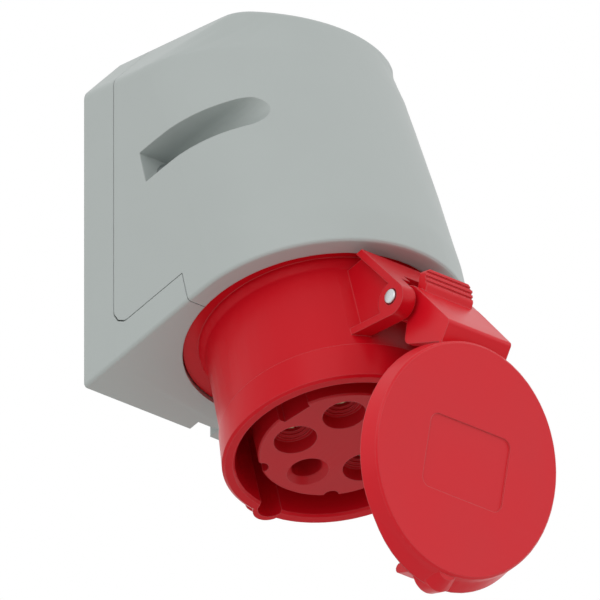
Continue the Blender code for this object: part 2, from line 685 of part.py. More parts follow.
def carrier_levels():
    """Depths of the carrier's shoulder and tail, from the housing floor down."""
    shoulder_front = FLOOR_DEPTH - FLOOR_THICKNESS - GAP
    shoulder_back = shoulder_front - CARRIER_SHOULDER_THICKNESS
    tail = shoulder_back - CARRIER_TAIL
    return shoulder_front, shoulder_back, tail


def build_carrier(socket, red):
    """The insert that holds the contacts, with its five mouths and edge notches."""
    face = RIM_DEPTH - CARRIER_BEHIND_RIM
    shoulder_front, shoulder_back, tail = carrier_levels()
    profile = [(RETAINER_RADIUS, tail), (RETAINER_RADIUS, shoulder_back),
               (CARRIER_SHOULDER_RADIUS, shoulder_back),
               (CARRIER_SHOULDER_RADIUS, shoulder_front), (CARRIER_RADIUS, shoulder_front),
               (CARRIER_RADIUS, face - CARRIER_CHAMFER), (CARRIER_RADIUS - CARRIER_CHAMFER, face)]
    carrier = turned("contact_carrier", profile, LARGE_SEGMENTS)
    for index, place in enumerate(contact_places()):
        if index == 0:
            mouth = [(EARTH_BORE_RADIUS, tail - MM), (EARTH_BORE_RADIUS, face - EARTH_MOUTH_DEPTH),
                     (EARTH_MOUTH_RADIUS, face), (EARTH_MOUTH_RADIUS, face + MM)]
        else:
            level = face
            mouth = [(LIVE_MOUTH[0][0], face + MM)]
            for radius, depth in LIVE_MOUTH:
                mouth.append((radius, level))
                level -= depth
                mouth.append((radius, level))
            bore = LIVE_SLEEVE[1] + GAP
            mouth += [(bore, level), (bore, tail - MM)]
            mouth.pop(1)
        cut(carrier, turned("mouth", mouth, MEDIUM_SEGMENTS, centre=place))
    for side in (-1, 1):
        small = [(2.4 * MM, face - 8 * MM), (2.4 * MM, face + MM)]
        cut(carrier, turned("edge_notch", small, SMALL_SEGMENTS, centre=(side * 14.2 * MM, -20.2 * MM)))
        wide = [(22.6, 0.6), (26.0, 0.2), (26.0, 12.0), (20.9, 10.2)]
        wide = [(side * x * MM, forward * MM) for x, forward in wide]
        cut(carrier, prism("wide_notch", wide, face - 8 * MM, face + MM,
                           lambda x, forward, along: Vector((x, forward, along))))
        hole = SMALL_SCREW_RADIUS + GAP
        screw_hole = [(hole, shoulder_back - MM), (hole, shoulder_front + MM)]
        cut(carrier, turned("screw_hole", screw_hole, SMALL_SEGMENTS,
                            centre=(side * CARRIER_SCREW_CIRCLE, 0.0)))
    hole = SMALL_SCREW_RADIUS + GAP
    cut(carrier, turned("screw_hole", [(hole, tail - MM), (hole, tail + 9 * MM)], SMALL_SEGMENTS))
    settle(carrier, red, socket)


def build_contacts(socket, brass, steel):
    """Five sleeves, each with a wire terminal and its screw behind the retainer."""
    face = RIM_DEPTH - CARRIER_BEHIND_RIM
    terminal_front = carrier_levels()[2] - 2 * GAP - RETAINER_THICKNESS
    terminal_back = terminal_front - TERMINAL_LENGTH
    names = ("earth", "line_1", "line_2", "line_3", "neutral")
    for index, (name, place) in enumerate(zip(names, contact_places())):
        bore, outer, sunk = EARTH_SLEEVE if index == 0 else LIVE_SLEEVE
        front = face - sunk
        profile = [(WIRE_HOLE_RADIUS, terminal_back + WIRE_HOLE_DEPTH), (WIRE_HOLE_RADIUS, terminal_back),
                   (TERMINAL_RADIUS, terminal_back), (TERMINAL_RADIUS, terminal_front),
                   (outer, terminal_front),
                   (outer, front - 0.4 * MM), (outer - 0.4 * MM, front), (bore, front),
                   (bore, front - SLEEVE_BORE_DEPTH)]
        contact = turned("contact_" + name, profile, SMALL_SEGMENTS, place)
        direction = Vector(place).normalized()
        level = (terminal_back + terminal_front - 2 * MM) / 2
        turn = Vector((*direction, 0.0)).to_track_quat("Z", "Y").to_matrix().to_4x4()
        seat = Matrix.Translation((*place, level)) @ turn
        tapped = turned("tapped", [(TERMINAL_SCREW_RADIUS + GAP, 0.0), (TERMINAL_SCREW_RADIUS + GAP, 8 * MM)],
                        SMALL_SEGMENTS)
        tapped.data.transform(seat)
        cut(contact, tapped)
        settle(contact, brass, socket)
        under = TERMINAL_RADIUS + GAP
        screw = [(TERMINAL_SCREW_RADIUS, 0.6 * MM), (TERMINAL_SCREW_RADIUS, under),
                 (TERMINAL_SCREW_HEAD_RADIUS, under),
                 (TERMINAL_SCREW_HEAD_RADIUS, under + TERMINAL_SCREW_HEAD_HEIGHT)]
        terminal_screw = turned("terminal_screw_" + name, screw, SMALL_SEGMENTS)
        terminal_screw.data.transform(seat)
        settle(terminal_screw, steel, socket)


def build_retainer(socket, black, steel):
    """Plate behind the carrier that keeps the contacts in, with its screw."""
    tail = carrier_levels()[2]
    front = tail - GAP
    back = front - RETAINER_THICKNESS
    disc = [(RETAINER_RADIUS, back), (RETAINER_RADIUS, front)]
    retainer = turned("contact_retainer", disc, LARGE_SEGMENTS // 2)
    for index, place in enumerate(contact_places()):
        radius = (EARTH_SLEEVE if index == 0 else LIVE_SLEEVE)[1] + GAP
        cut(retainer, turned("hole", [(radius, back - MM), (radius, front + MM)], SMALL_SEGMENTS,
                             centre=place))
    clear = SMALL_SCREW_RADIUS + GAP
    cut(retainer, turned("hole", [(clear, back - MM), (clear, front + MM)], SMALL_SEGMENTS))
    settle(retainer, black, socket)
    small_screw("retainer_screw", back - GAP, tail + 8 * MM, (0.0, 0.0), socket, steel)
    shoulder_back = carrier_levels()[1]
    for side, word in ((-1, "left"), (1, "right")):
        small_screw("carrier_screw_" + word, shoulder_back - GAP, FLOOR_DEPTH - 1.6 * MM,
                    (side * CARRIER_SCREW_CIRCLE, 0.0), socket, steel)


def small_screw(name, under_head, tip, centre, socket, steel):
    profile = [(SMALL_SCREW_HEAD_RADIUS, under_head - SMALL_SCREW_HEAD_HEIGHT),
               (SMALL_SCREW_HEAD_RADIUS, under_head),
               (SMALL_SCREW_RADIUS, under_head), (SMALL_SCREW_RADIUS, tip)]
    settle(turned(name, profile, SMALL_SEGMENTS, centre), steel, socket)


def build_flange_seal(socket, rubber):
    """Flat ring between the trapped flange and the lip of the box."""
    inner = TRAPPED_RADIUS - 6 * MM
    outer = FLANGE_RADIUS
    low = -FLANGE_THICKNESS - TRAPPED_THICKNESS - GAP
    profile = [(inner, low), (outer, low), (outer, low - 1.6 * MM), (inner, low - 1.6 * MM)]
    seal = turned("flange_seal", profile, LARGE_SEGMENTS, ring_shaped=True)
    settle(seal, rubber, socket)


def build_lid(lid_frame, red, rubber):
    """The cap with its lip, badge and hook, and the hinge arm with its grip."""
    centre = (0.0, -HINGE_FORWARD)
    rim_lift = RIM_DEPTH - HINGE_DEPTH
    low = rim_lift + GAP
    inner_face = LID_FACE_LIFT - LID_SHELL
    lid = loft("lid", cap_rings(low))
    key_centre = (0.0, -HINGE_FORWARD - KEY_CENTRE)
    key_clear = KEY_END_RADIUS + LID_KEY_CLEARANCE
    key_outer = key_clear + LID_KEY_WALL
    key_low = low - KEY_END + GAP
    key = [(key_outer, key_low), (key_outer, low + MM), (key_outer - 3 * MM, LID_FACE_LIFT - MM)]
    fuse(lid, turned("key_tab", key, MEDIUM_SEGMENTS, key_centre))
    fuse(lid, prism("arm", arm_outline(), -ARM_HALF_WIDTH, ARM_HALF_WIDTH, lid_side))
    fuse(lid, build_grip())
    inside = ARM_HALF_WIDTH - ARM_WALL
    cut(lid, prism("arm_hollow", arm_hollow_outline(), -inside, inside, lid_side))
    rebate = low + GAP
    cut(lid, loft("rim_clearance", rim_clearance_rings(rebate)))
    clearance = [(key_clear, -low), (key_clear, rebate + GAP)]
    cut(lid, turned("key_clearance", clearance, MEDIUM_SEGMENTS, key_centre))
    hollow = [(LID_HOLLOW_RADIUS, -low), (LID_HOLLOW_RADIUS, inner_face)]
    cut(lid, turned("cap_hollow", hollow, LARGE_SEGMENTS, centre))
    half = SPRING_POCKET_HALF_WIDTH
    cut(lid, prism("spring_pocket", spring_pocket_outline(), -half, half, lid_side))
    cut(lid, prism("pin_hole", arc((0, 0), PIN_RADIUS + GAP, 0, 360 - 24, 14), -FAR, FAR, lid_side))
    fuse(lid, prism("hook", hook_outline(), -HOOK_HALF_WIDTH, HOOK_HALF_WIDTH, lid_side))
    width, height, corner, sunk = LID_BADGE
    middle = HINGE_FORWARD
    corners = [(-width / 2, middle - height / 2), (width / 2, middle - height / 2),
               (width / 2, middle + height / 2), (-width / 2, middle + height / 2)]
    cut(lid, prism("badge", rounded(corners, [corner] * 4), LID_FACE_LIFT - sunk, LID_FACE_LIFT + MM,
                   lambda x, reach, lift: Vector((x, -reach, lift))))
    settle(lid, red, lid_frame)
    high = inner_face - GAP
    outer = LID_HOLLOW_RADIUS - GAP
    ring = [(GASKET_INNER_RADIUS, low), (outer, low), (outer, high), (GASKET_INNER_RADIUS, high)]
    gasket = turned("lid_gasket", ring, LARGE_SEGMENTS, centre, ring_shaped=True)
    hook_slot = [(HOOK_REACH[0] - 2 * GAP, low - MM), (HOOK_REACH[0] - 2 * GAP, high + MM),
                 (HOOK_REACH[1] + 4 * MM, high + MM), (HOOK_REACH[1] + 4 * MM, low - MM)]
    reach = HOOK_HALF_WIDTH + 2 * GAP
    cut(gasket, prism("hook_slot", hook_slot, -reach, reach, lid_side))
    settle(gasket, rubber, lid_frame)


def rim_clearance_rings(top):
    """The room that the lid leaves round the housing's front band and rim."""
    band = BODY_RADIUS + 0.7 * MM + BAND_STEP
    band_lift = RIM_DEPTH - FRONT_BAND - HINGE_DEPTH
    rim_lift = RIM_DEPTH - RIM_CHAMFER - HINGE_DEPTH
    sections = [(band, -top, BODY_OFFSET), (band, band_lift, BODY_OFFSET), (RIM_RADIUS, rim_lift, 0.0),
                (RIM_RADIUS, top, 0.0)]
    return [circle(radius + LID_CLEARANCE, lift, LARGE_SEGMENTS, (0.0, offset - HINGE_FORWARD))
            for radius, lift, offset in sections]


def shifted_circle(radius, shift, angle):
    """Distance from the socket axis to a circle whose centre lies off it towards the free end."""
    return shift * math.cos(angle) + math.sqrt(radius ** 2 - (shift * math.sin(angle)) ** 2)


def cap_rings(low):
    """The cap's wall flares into a lip at its free end, and its top edge is eased."""
    edge = LID_FACE_LIFT - LID_EDGE_RADIUS
    rings = []
    for level in range(5):
        t = min(level / 3, 1.0)
        lift = low + (edge - low) * t
        eased = 0.0
        if level == 4:
            lift = LID_FACE_LIFT
            eased = LID_EDGE_RADIUS
        ring = []
        for i in range(LID_SEGMENTS):
            angle = 2 * math.pi * (i + 0.5) / LID_SEGMENTS
            wall = LID_RIM_RADIUS * (1 - t) + shifted_circle(LID_FACE_RADIUS, -LID_FACE_SHIFT, angle) * t
            lip = shifted_circle(LID_LIP_RADIUS, LID_LIP_SHIFT, angle) * (1 - t) + LID_LIP_TOP * t
            radius = max(wall, lip) - eased
            ring.append(Vector((radius * math.sin(angle), -HINGE_FORWARD - radius * math.cos(angle), lift)))
        rings.append(ring)
    return rings


def arm_outline():
    """Side view of the lid's hinge arm, with the hub about the pin."""
    hub = arc((0, 0), HUB_RADIUS, 12, math.degrees(-PANEL_FOOT_ANGLE) - 180, 14)
    under_cap = (ARM_VALLEY[0] + 0.1 * MM, 17.6 * MM)
    corners = [hub[-1], ARM_RIDGE, ARM_VALLEY, (ARM_VALLEY[0] + 2 * MM, ARM_VALLEY[1] - 0.4 * MM),
               (ARM_VALLEY[0] + 2 * MM, under_cap[1]), under_cap, ARM_CHEEK]
    outline = rounded(corners + [hub[0]], [0, ARM_RIDGE_RADIUS, 0, 0, 0, 0, ARM_CHEEK_RADIUS, 0])
    return hub + outline[1:-1]


def panel_line():
    """The sloped panel's foot on the hub, its direction, and the way in from it."""
    foot = Vector((-HUB_RADIUS * math.cos(PANEL_FOOT_ANGLE), HUB_RADIUS * math.sin(PANEL_FOOT_ANGLE)))
    slope = (Vector(ARM_RIDGE) - foot).normalized()
    return foot, slope, Vector((slope.y, -slope.x))


def spring_pocket_outline():
    """Room round the spring, up to the inside of the sloped panel."""
    inward = panel_line()[2]
    from_pin = SPRING_COIL_RADIUS + SPRING_WIRE_RADIUS + GAP
    spread = math.degrees(math.acos(from_pin / SPRING_POCKET_RADIUS))
    normal = math.degrees(math.atan2(-inward.y, -inward.x))
    return arc((0, 0), SPRING_POCKET_RADIUS, normal + spread - 360, normal - spread, 16)


def arm_hollow_outline():
    """What is left open under the arm's sloped panel, between its cheeks."""
    foot, slope, inward = panel_line()
    inward = inward * ARM_WALL
    ceiling = ARM_VALLEY[1] - ARM_WALL
    start = foot + inward + slope * 6.6 * MM
    knee = foot + inward + slope * ((ceiling - foot.y - inward.y) / slope.y)
    joint = ARM_JOINT
    around = arc((0, 0), HUB_RADIUS + 0.9 * MM, 0, 80, 4)
    low = -FAR / 10
    return [tuple(start), tuple(knee), (joint, ceiling), (joint, low), (HUB_RADIUS + 0.9 * MM, low)] + around


def grip_outline():
    """Side view of the thumb grip behind the hinge, with grooves in its face."""
    outer = Vector((-GRIP_REACH, GRIP_LIFT))
    inner = Vector((-6.3 * MM, GRIP_LIFT + 1.7 * MM))
    along = (inner - outer) / (2 * GRIP_GROOVES + 1)
    down = Vector((along.y, -along.x)).normalized() * GRIP_GROOVE_DEPTH
    face = []
    for k in range(2 * GRIP_GROOVES + 2):
        point = outer + along * k
        if k % 2 == 0:
            face.append(tuple(point))
            if k > 0:
                face.insert(-1, tuple(point + down))
        else:
            face.append(tuple(point))
            if k < 2 * GRIP_GROOVES + 1:
                face.append(tuple(point + down))
    back = GRIP_LIFT - GRIP_THICKNESS
    underside = [(-4.0 * MM, 3.6 * MM), (-4.4 * MM, -1.6 * MM), (-6.0 * MM, back), (-GRIP_REACH + 0.9 * MM, back)]
    return face + underside


def build_grip():
    """The grip with the two corners of its free edge taken off."""
    grip = prism("grip", grip_outline(), -GRIP_HALF_WIDTH, GRIP_HALF_WIDTH, lid_side)
    for side in (-1, 1):
        inner, outer = side * (GRIP_HALF_WIDTH - GRIP_CORNER), side * 2 * GRIP_HALF_WIDTH
        corner = [(inner, -GRIP_REACH), (inner, -2 * GRIP_REACH), (outer, -2 * GRIP_REACH),
                  (outer, GRIP_CORNER - GRIP_REACH), (side * GRIP_HALF_WIDTH, GRIP_CORNER - GRIP_REACH)]
        cut(grip, prism("corner", corner, -GRIP_REACH, GRIP_REACH,
                        lambda x, reach, lift: Vector((x, -reach, lift))))
    return grip


def hook_outline():
    """Side view of the hook that locks a plug, pointing in from the free end."""
    near, far = HOOK_REACH
    middle = (near + far) / 2
    tip = 1.6 * MM
    root = LID_FACE_LIFT - LID_SHELL + 0.6 * MM
    end = arc((middle, HOOK_TIP_LIFT + tip), tip, 0, -180, 6)
    return [(far, root)] + end + [(near, root)]


def build_pin(socket, steel):
    """Hinge pin through both ears and the lid's hub."""
    chamfer = 0.4 * MM
    left, right = PIN_ENDS
    profile = [(PIN_RADIUS - chamfer, left), (PIN_RADIUS, left + chamfer), (PIN_RADIUS, right - chamfer),
               (PIN_RADIUS - chamfer, right)]
    pin = turned("hinge_pin", profile, MEDIUM_SEGMENTS)
    place = Matrix.Translation((0, HINGE_FORWARD, HINGE_DEPTH)) @ Matrix.Rotation(math.pi / 2, 4, "Y")
    pin.data.transform(place)
    settle(pin, steel, socket)


def build_spring(socket, steel):
    """Torsion spring on the pin; its long leg lies along the housing under the slotted plate."""
    first = math.radians(SPRING_FIRST_ANGLE)
    last = math.radians(180 + 360 * SPRING_TURNS)
    count = SPRING_TURNS * SPRING_STEPS
    length = SPRING_TURNS * SPRING_PITCH
    path = []
    for i in range(count + 1):
        angle = first + (last - first) * i / count
        spoke = Vector((0, math.cos(angle), math.sin(angle)))
        middle = Vector((length * (i / count - 0.5), HINGE_FORWARD, HINGE_DEPTH))
        path.append(middle + spoke * SPRING_COIL_RADIUS)
    inner_leg = Vector((0, math.sin(first), -math.cos(first))) * SPRING_LID_LEG
    outer_leg = Vector((0, -math.sin(last), math.cos(last))) * SPRING_BODY_LEG
    path = [path[0] + inner_leg] + path + [path[-1] + outer_leg]
    curve = bpy.data.curves.new("lid_spring", "CURVE")
    curve.dimensions = "3D"
    curve.bevel_depth = SPRING_WIRE_RADIUS
    curve.bevel_resolution = 1
    curve.use_fill_caps = True
    spline = curve.splines.new("POLY")
    spline.points.add(len(path) - 1)
    for point, place in zip(spline.points, path):
        point.co = (*place, 1.0)
    curve.materials.append(steel)
    spring = bpy.data.objects.new("lid_spring", curve)
    bpy.context.scene.collection.objects.link(spring)
    spring.parent = socket


def empty(name, place, parent=None):
    made = bpy.data.objects.new(name, None)
    bpy.context.scene.collection.objects.link(made)
    made.empty_display_size = 10 * MM
    made.parent = parent
    made.matrix_local = place
    return made


def socket_matrix():
    """The socket frame: X across, Y forward across the axis, Z out along it."""
    forward = Vector((0, -math.cos(TILT), math.sin(TILT)))
    outward = Vector((0, -math.sin(TILT), -math.cos(TILT)))
    rotation = Matrix((Vector((1, 0, 0)), forward, outward)).transposed().to_4x4()
    return Matrix.Translation(side_view(AXIS_DEPTH, AXIS_HEIGHT, 0.0)) @ rotation


def main():
    for thing in list(bpy.data.objects):
        bpy.data.objects.remove(thing, do_unlink=True)
    grey = material("grey_polyamide", "#B3B9B7", 0.5)
    red = material("red_polyamide", "#C01420", 0.4)
    dark_red = material("carrier_red", "#B02028", 0.45)
    rubber = material("black_rubber", "#1C1C1E", 0.8)
    black = material("black_plate", "#26282A", 0.6)
    brass = material("nickel_brass", "#B9A878", 0.35, 1.0)
    steel = material("zinc_steel", "#C9CBCC", 0.3, 1.0)

    socket = empty("socket_axis", socket_matrix())
    hinge = Matrix.Translation((0, HINGE_FORWARD, HINGE_DEPTH)) @ Matrix.Rotation(-LID_OPEN_ANGLE, 4, "X")
    lid_frame = empty("lid_pivot", hinge, socket)

    build_box(grey)
    build_hood_screws(steel)
    build_entry_grommet(rubber)
    build_socket_housing(socket, red)
    build_flange_seal(socket, rubber)
    build_carrier(socket, dark_red)
    build_contacts(socket, brass, steel)
    build_retainer(socket, black, steel)
    build_lid(lid_frame, red, rubber)
    build_pin(socket, steel)
    build_spring(socket, steel)
    bpy.context.view_layer.update()


main()
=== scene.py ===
"""Finishes for a surface-mounted industrial wall socket with a sprung lid.

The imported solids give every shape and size. This add-on dresses them: moulded
grey polyamide for the enclosure, moulded red polyamide for the socket and its
lid, plated metal for the contacts, screws and pin, and rubber for the seals.
"""

import json
import math

import bmesh
import bpy
import numpy as np
from mathutils import Matrix, Vector

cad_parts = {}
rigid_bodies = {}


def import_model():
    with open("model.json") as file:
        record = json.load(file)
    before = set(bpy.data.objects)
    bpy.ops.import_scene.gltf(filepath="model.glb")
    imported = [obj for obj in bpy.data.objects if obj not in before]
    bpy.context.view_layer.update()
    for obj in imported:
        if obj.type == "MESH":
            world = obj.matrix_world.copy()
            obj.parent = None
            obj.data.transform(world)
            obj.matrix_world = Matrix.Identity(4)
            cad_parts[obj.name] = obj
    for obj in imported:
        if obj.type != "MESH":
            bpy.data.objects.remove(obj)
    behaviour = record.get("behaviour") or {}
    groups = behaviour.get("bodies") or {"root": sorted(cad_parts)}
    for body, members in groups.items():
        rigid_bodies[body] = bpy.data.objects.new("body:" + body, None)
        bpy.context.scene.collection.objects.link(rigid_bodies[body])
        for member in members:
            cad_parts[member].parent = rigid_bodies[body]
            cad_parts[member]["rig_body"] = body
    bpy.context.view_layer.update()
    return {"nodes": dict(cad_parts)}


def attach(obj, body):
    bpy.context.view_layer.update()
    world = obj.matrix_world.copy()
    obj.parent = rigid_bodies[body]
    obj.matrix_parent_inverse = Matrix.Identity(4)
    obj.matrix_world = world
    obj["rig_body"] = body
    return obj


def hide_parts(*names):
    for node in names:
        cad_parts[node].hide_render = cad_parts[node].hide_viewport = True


bl_info = {
    "name": "Wall socket finish",
    "version": (1, 0, 0),
    "blender": (4, 5, 0),
    "location": "View3D > Sidebar > Wall socket",
    "description": "Dresses an industrial wall socket in moulded plastic, plated metal and rubber",
    "category": "Object",
}

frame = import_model()

MM = 0.001

# The socket frame: X across, Y forward across the socket's axis, Z out along it
TILT = math.radians(15.0)
AXIS_START = Vector((0.0, -51.0 * MM, -36.8 * MM))
FORWARD = Vector((0.0, -math.cos(TILT), math.sin(TILT)))
OUTWARD = Vector((0.0, -math.sin(TILT), -math.cos(TILT)))
SOCKET = Matrix.Translation(AXIS_START) @ Matrix((Vector((1, 0, 0)), FORWARD, OUTWARD)).transposed().to_4x4()

# Hinge pin, in the socket frame: its axis, how far its middle lies to the left, and its ends' rounding
PIN_PLACE = Vector((0.0, 49.5 * MM, 27.7 * MM))
PIN_SHIFT = Vector((-1.9 * MM, 0.0, 0.0))
PIN_END_RADIUS = 0.4 * MM

# Torsion spring: its legs, where the first one leaves, and the room and the steps of each turn
FIRST_LEG = 4.0 * MM
LAST_LEG = 9.0 * MM
FIRST_LEG_ANGLE = math.radians(144)
TURN_PITCH = 1.6 * MM
STEPS_PER_TURN = 28

# Contacts: levels along the socket's axis, and places on their circle
CARRIER_FACE = 42.9 * MM
RETAINER_BACK = -9.9 * MM
CONTACT_CIRCLE = 14.7 * MM
CONTACT_COUNT = 5
EARTH_ANGLE = -math.pi / 2

# Contact sleeves: bore radius, outer radius, and how deep the mouth sits in the insert
LIVE_SLEEVE = (2.5 * MM, 3.5 * MM, 6.6 * MM)
EARTH_SLEEVE = (3.5 * MM, 4.4 * MM, 10.0 * MM)
BORE_DEPTH = 26.0 * MM
SLOT_DEPTH = 9.0 * MM
SLOT_WIDTH = 0.6 * MM

# Wire terminals at the sleeves' rear ends
TERMINAL_LENGTH = 11.0 * MM
TERMINAL_RADIUS = 4.7 * MM
TERMINAL_EDGE = 0.3 * MM
WIRE_HOLE_RADIUS = 2.3 * MM
CLAMP_HOLE_RADIUS = 1.8 * MM
HOLE_DEPTH = 8.0 * MM

# Screws: shank radius, head radius, head height, length and thread pitch
HOOD_SCREW = (1.8 * MM, 3.6 * MM, 2.4 * MM, 22.0 * MM, 1.2 * MM)
CARRIER_SCREW = (1.5 * MM, 2.6 * MM, 2.0 * MM, 8.0 * MM, 0.8 * MM)
RETAINER_SCREW = (1.5 * MM, 2.6 * MM, 2.0 * MM, 11.6 * MM, 0.8 * MM)
TERMINAL_SCREW = (1.5 * MM, 2.3 * MM, 1.8 * MM, 4.4 * MM, 0.6 * MM)
HOOD_SCREW_X = 37.5 * MM
HOOD_SCREW_SEAT = Vector((0, -11.3 * MM, -53.3 * MM))
CARRIER_SCREW_CIRCLE = 28.6 * MM
CARRIER_SCREW_SEAT = 3.6 * MM
RETAINER_SCREW_SEAT = 9.6 * MM
TERMINAL_SCREW_SEAT = 5.0 * MM

# Screw forms: upright share of the head, turn of its dome, and the recess against the head
HEAD_WALL = 0.45
HEAD_DOME = math.radians(72)
RECESS_RADIUS_SHARE = 0.62
RECESS_DEPTH_SHARE = 0.7

# Screw shanks: point and thread root against the shank, and the plain neck below the head
POINT_SHARE = 0.35
ROOT_SHARE = 0.8
PLAIN_NECK = 2.0 * MM

# Flange seal: middle radius, section, corner and level along the socket's axis
SEAL_RADIUS = 38.55 * MM
SEAL_WIDTH = 3.1 * MM
SEAL_HEIGHT = 1.6 * MM
SEAL_CORNER = 0.4 * MM
SEAL_LEVEL = -5.7 * MM

# Moulded forms: how close points weld, how often curved faces are split, and the hood's even blend
WELD = 0.002 * MM
CURVE_PASSES = 2
BLEND_START = 38.0 * MM
BLEND_RAMP = 5.0 * MM
BLEND_ROUNDS = 30
SEAM_CLEAR = 15.0 * MM
POLYAMIDE_IOR = 1.53

# What the camera and the lamps face, and the camera's distance from it
AIM = Vector((0.0, -0.0444, -0.0237))
CAMERA_DISTANCE = 0.7

# Soft boxes: the side of each square, then its place and its power in watts
BOX_SIDE = 1.1
LEFT_BOX = ((-1.3, -0.9, 0.5), 4.5)
RIGHT_BOX = ((1.2, -1.1, 0.4), 1.7)


def linear(hex_colour):
    """Turns an sRGB hex colour into the linear colour that a shader takes."""
    channels = [int(hex_colour[i:i + 2], 16) / 255 for i in (1, 3, 5)]
    bent = [c / 12.92 if c <= 0.04045 else ((c + 0.055) / 1.055) ** 2.4 for c in channels]
    return (*bent, 1.0)


def colour_property(label, description, hex_colour):
    """A colour that a user can change."""
    return bpy.props.FloatVectorProperty(name=label, description=description, subtype="COLOR", size=4,
                                         min=0.0, max=1.0, default=linear(hex_colour))


def length_property(label, description, millimetres):
    """A length that a user can change, stored in metres."""
    return bpy.props.FloatProperty(name=label, description=description, default=millimetres * MM, min=0.0,
                                   unit="LENGTH", precision=5)


class WallSocketColours(bpy.types.PropertyGroup):
    """Colours of the moulded, plated and rubber finishes."""
    hood_grey: colour_property("Hood grey", "Polyamide of the hood and the back box", "#B4BBB9")
    socket_red: colour_property("Socket red", "Polyamide of the socket housing", "#CE0E1E")
    # Brighter than the socket red: painted light for the lid's better-lit face
    lit_lid_red: colour_property("Lid red", "Polyamide of the lid", "#DA0F21")
    insert_red: colour_property("Insert red", "Duller polyamide of the contact insert", "#C01420")
    rubber_black: colour_property("Rubber black", "Seals, gasket and cable membrane", "#1E1E20")
    plate_black: colour_property("Plate black", "Glass-filled plate behind the insert", "#26282A")
    zinc: colour_property("Zinc plate", "Screws and hinge pin", "#D3D6D8")
    nickel: colour_property("Nickel plate", "Contact sleeves", "#CDBF98")
    spring_wire: colour_property("Spring steel", "Torsion spring", "#A9ABAD")


class WallSocketSizes(bpy.types.PropertyGroup):
    """Sizes of the finish: edge softness, grain and the small repeated parts."""
    # The same radius also sets how wide the painted edge highlight runs
    edge_softness: length_property("Edge softness", "Radius that a moulded edge catches the light with",
                                   0.45)
    grain: length_property("Mould grain", "Width of the eroded grain on the enclosure", 0.5)
    grain_depth: length_property("Grain depth", "Depth of the eroded grain on the enclosure", 0.012)
    flow: length_property("Flow marks", "Width of the faint clouds in moulded plastic", 22.0)
    wire: length_property("Spring wire", "Diameter of the torsion spring's wire", 1.1)
    coil: length_property("Spring coil", "Mean radius of the torsion spring", 3.2)
    turns: bpy.props.IntProperty(name="Spring turns", description="Turns of the torsion spring", default=7,
                                 min=2)
    pin_diameter: length_property("Pin diameter", "Diameter of the hinge pin", 4.6)
    pin_length: length_property("Pin length", "Length of the hinge pin", 36.2)


class WallSocketStage(bpy.types.PropertyGroup):
    """Camera, floor and lamps."""
    azimuth: bpy.props.FloatProperty(name="Azimuth", description="Camera's bearing, 0 looks at the front",
                                     default=math.radians(-42.3), subtype="ANGLE")
    elevation: bpy.props.FloatProperty(name="Elevation", description="Camera's height above the horizon",
                                       default=math.radians(-25.7), subtype="ANGLE")
    picture_width: length_property("Picture width", "Width of the view across the object", 179.64)
    floor_drop: length_property("Floor drop", "Height of the wall face's centre above the floor", 850.0)
    ambient: bpy.props.FloatProperty(name="Ambient", description="Strength of the even light from all round",
                                     default=0.755, min=0.0, subtype="FACTOR")


def settings():
    """The three groups of settings on the current scene."""
    scene = bpy.context.scene
    return scene.wall_socket_colours, scene.wall_socket_sizes, scene.wall_socket_stage


def add_node(tree, kind, inputs=None, **options):
    """Adds a node, sets its options, and links or sets its inputs."""
    node = tree.nodes.new(kind)
    for option, value in options.items():
        setattr(node, option, value)
    for socket, value in (inputs or {}).items():
        if isinstance(value, bpy.types.NodeSocket):
            tree.links.new(value, node.inputs[socket])
        else:
            node.inputs[socket].default_value = value
    return node


def start_material(name):
    """An empty node tree with a Principled shader on its output."""
    made = bpy.data.materials.new(name)
    made.use_nodes = True
    tree = made.node_tree
    tree.nodes.clear()
    shader = add_node(tree, "ShaderNodeBsdfPrincipled")
    add_node(tree, "ShaderNodeOutputMaterial", {"Surface": shader.outputs[0]})
    return made, tree, shader


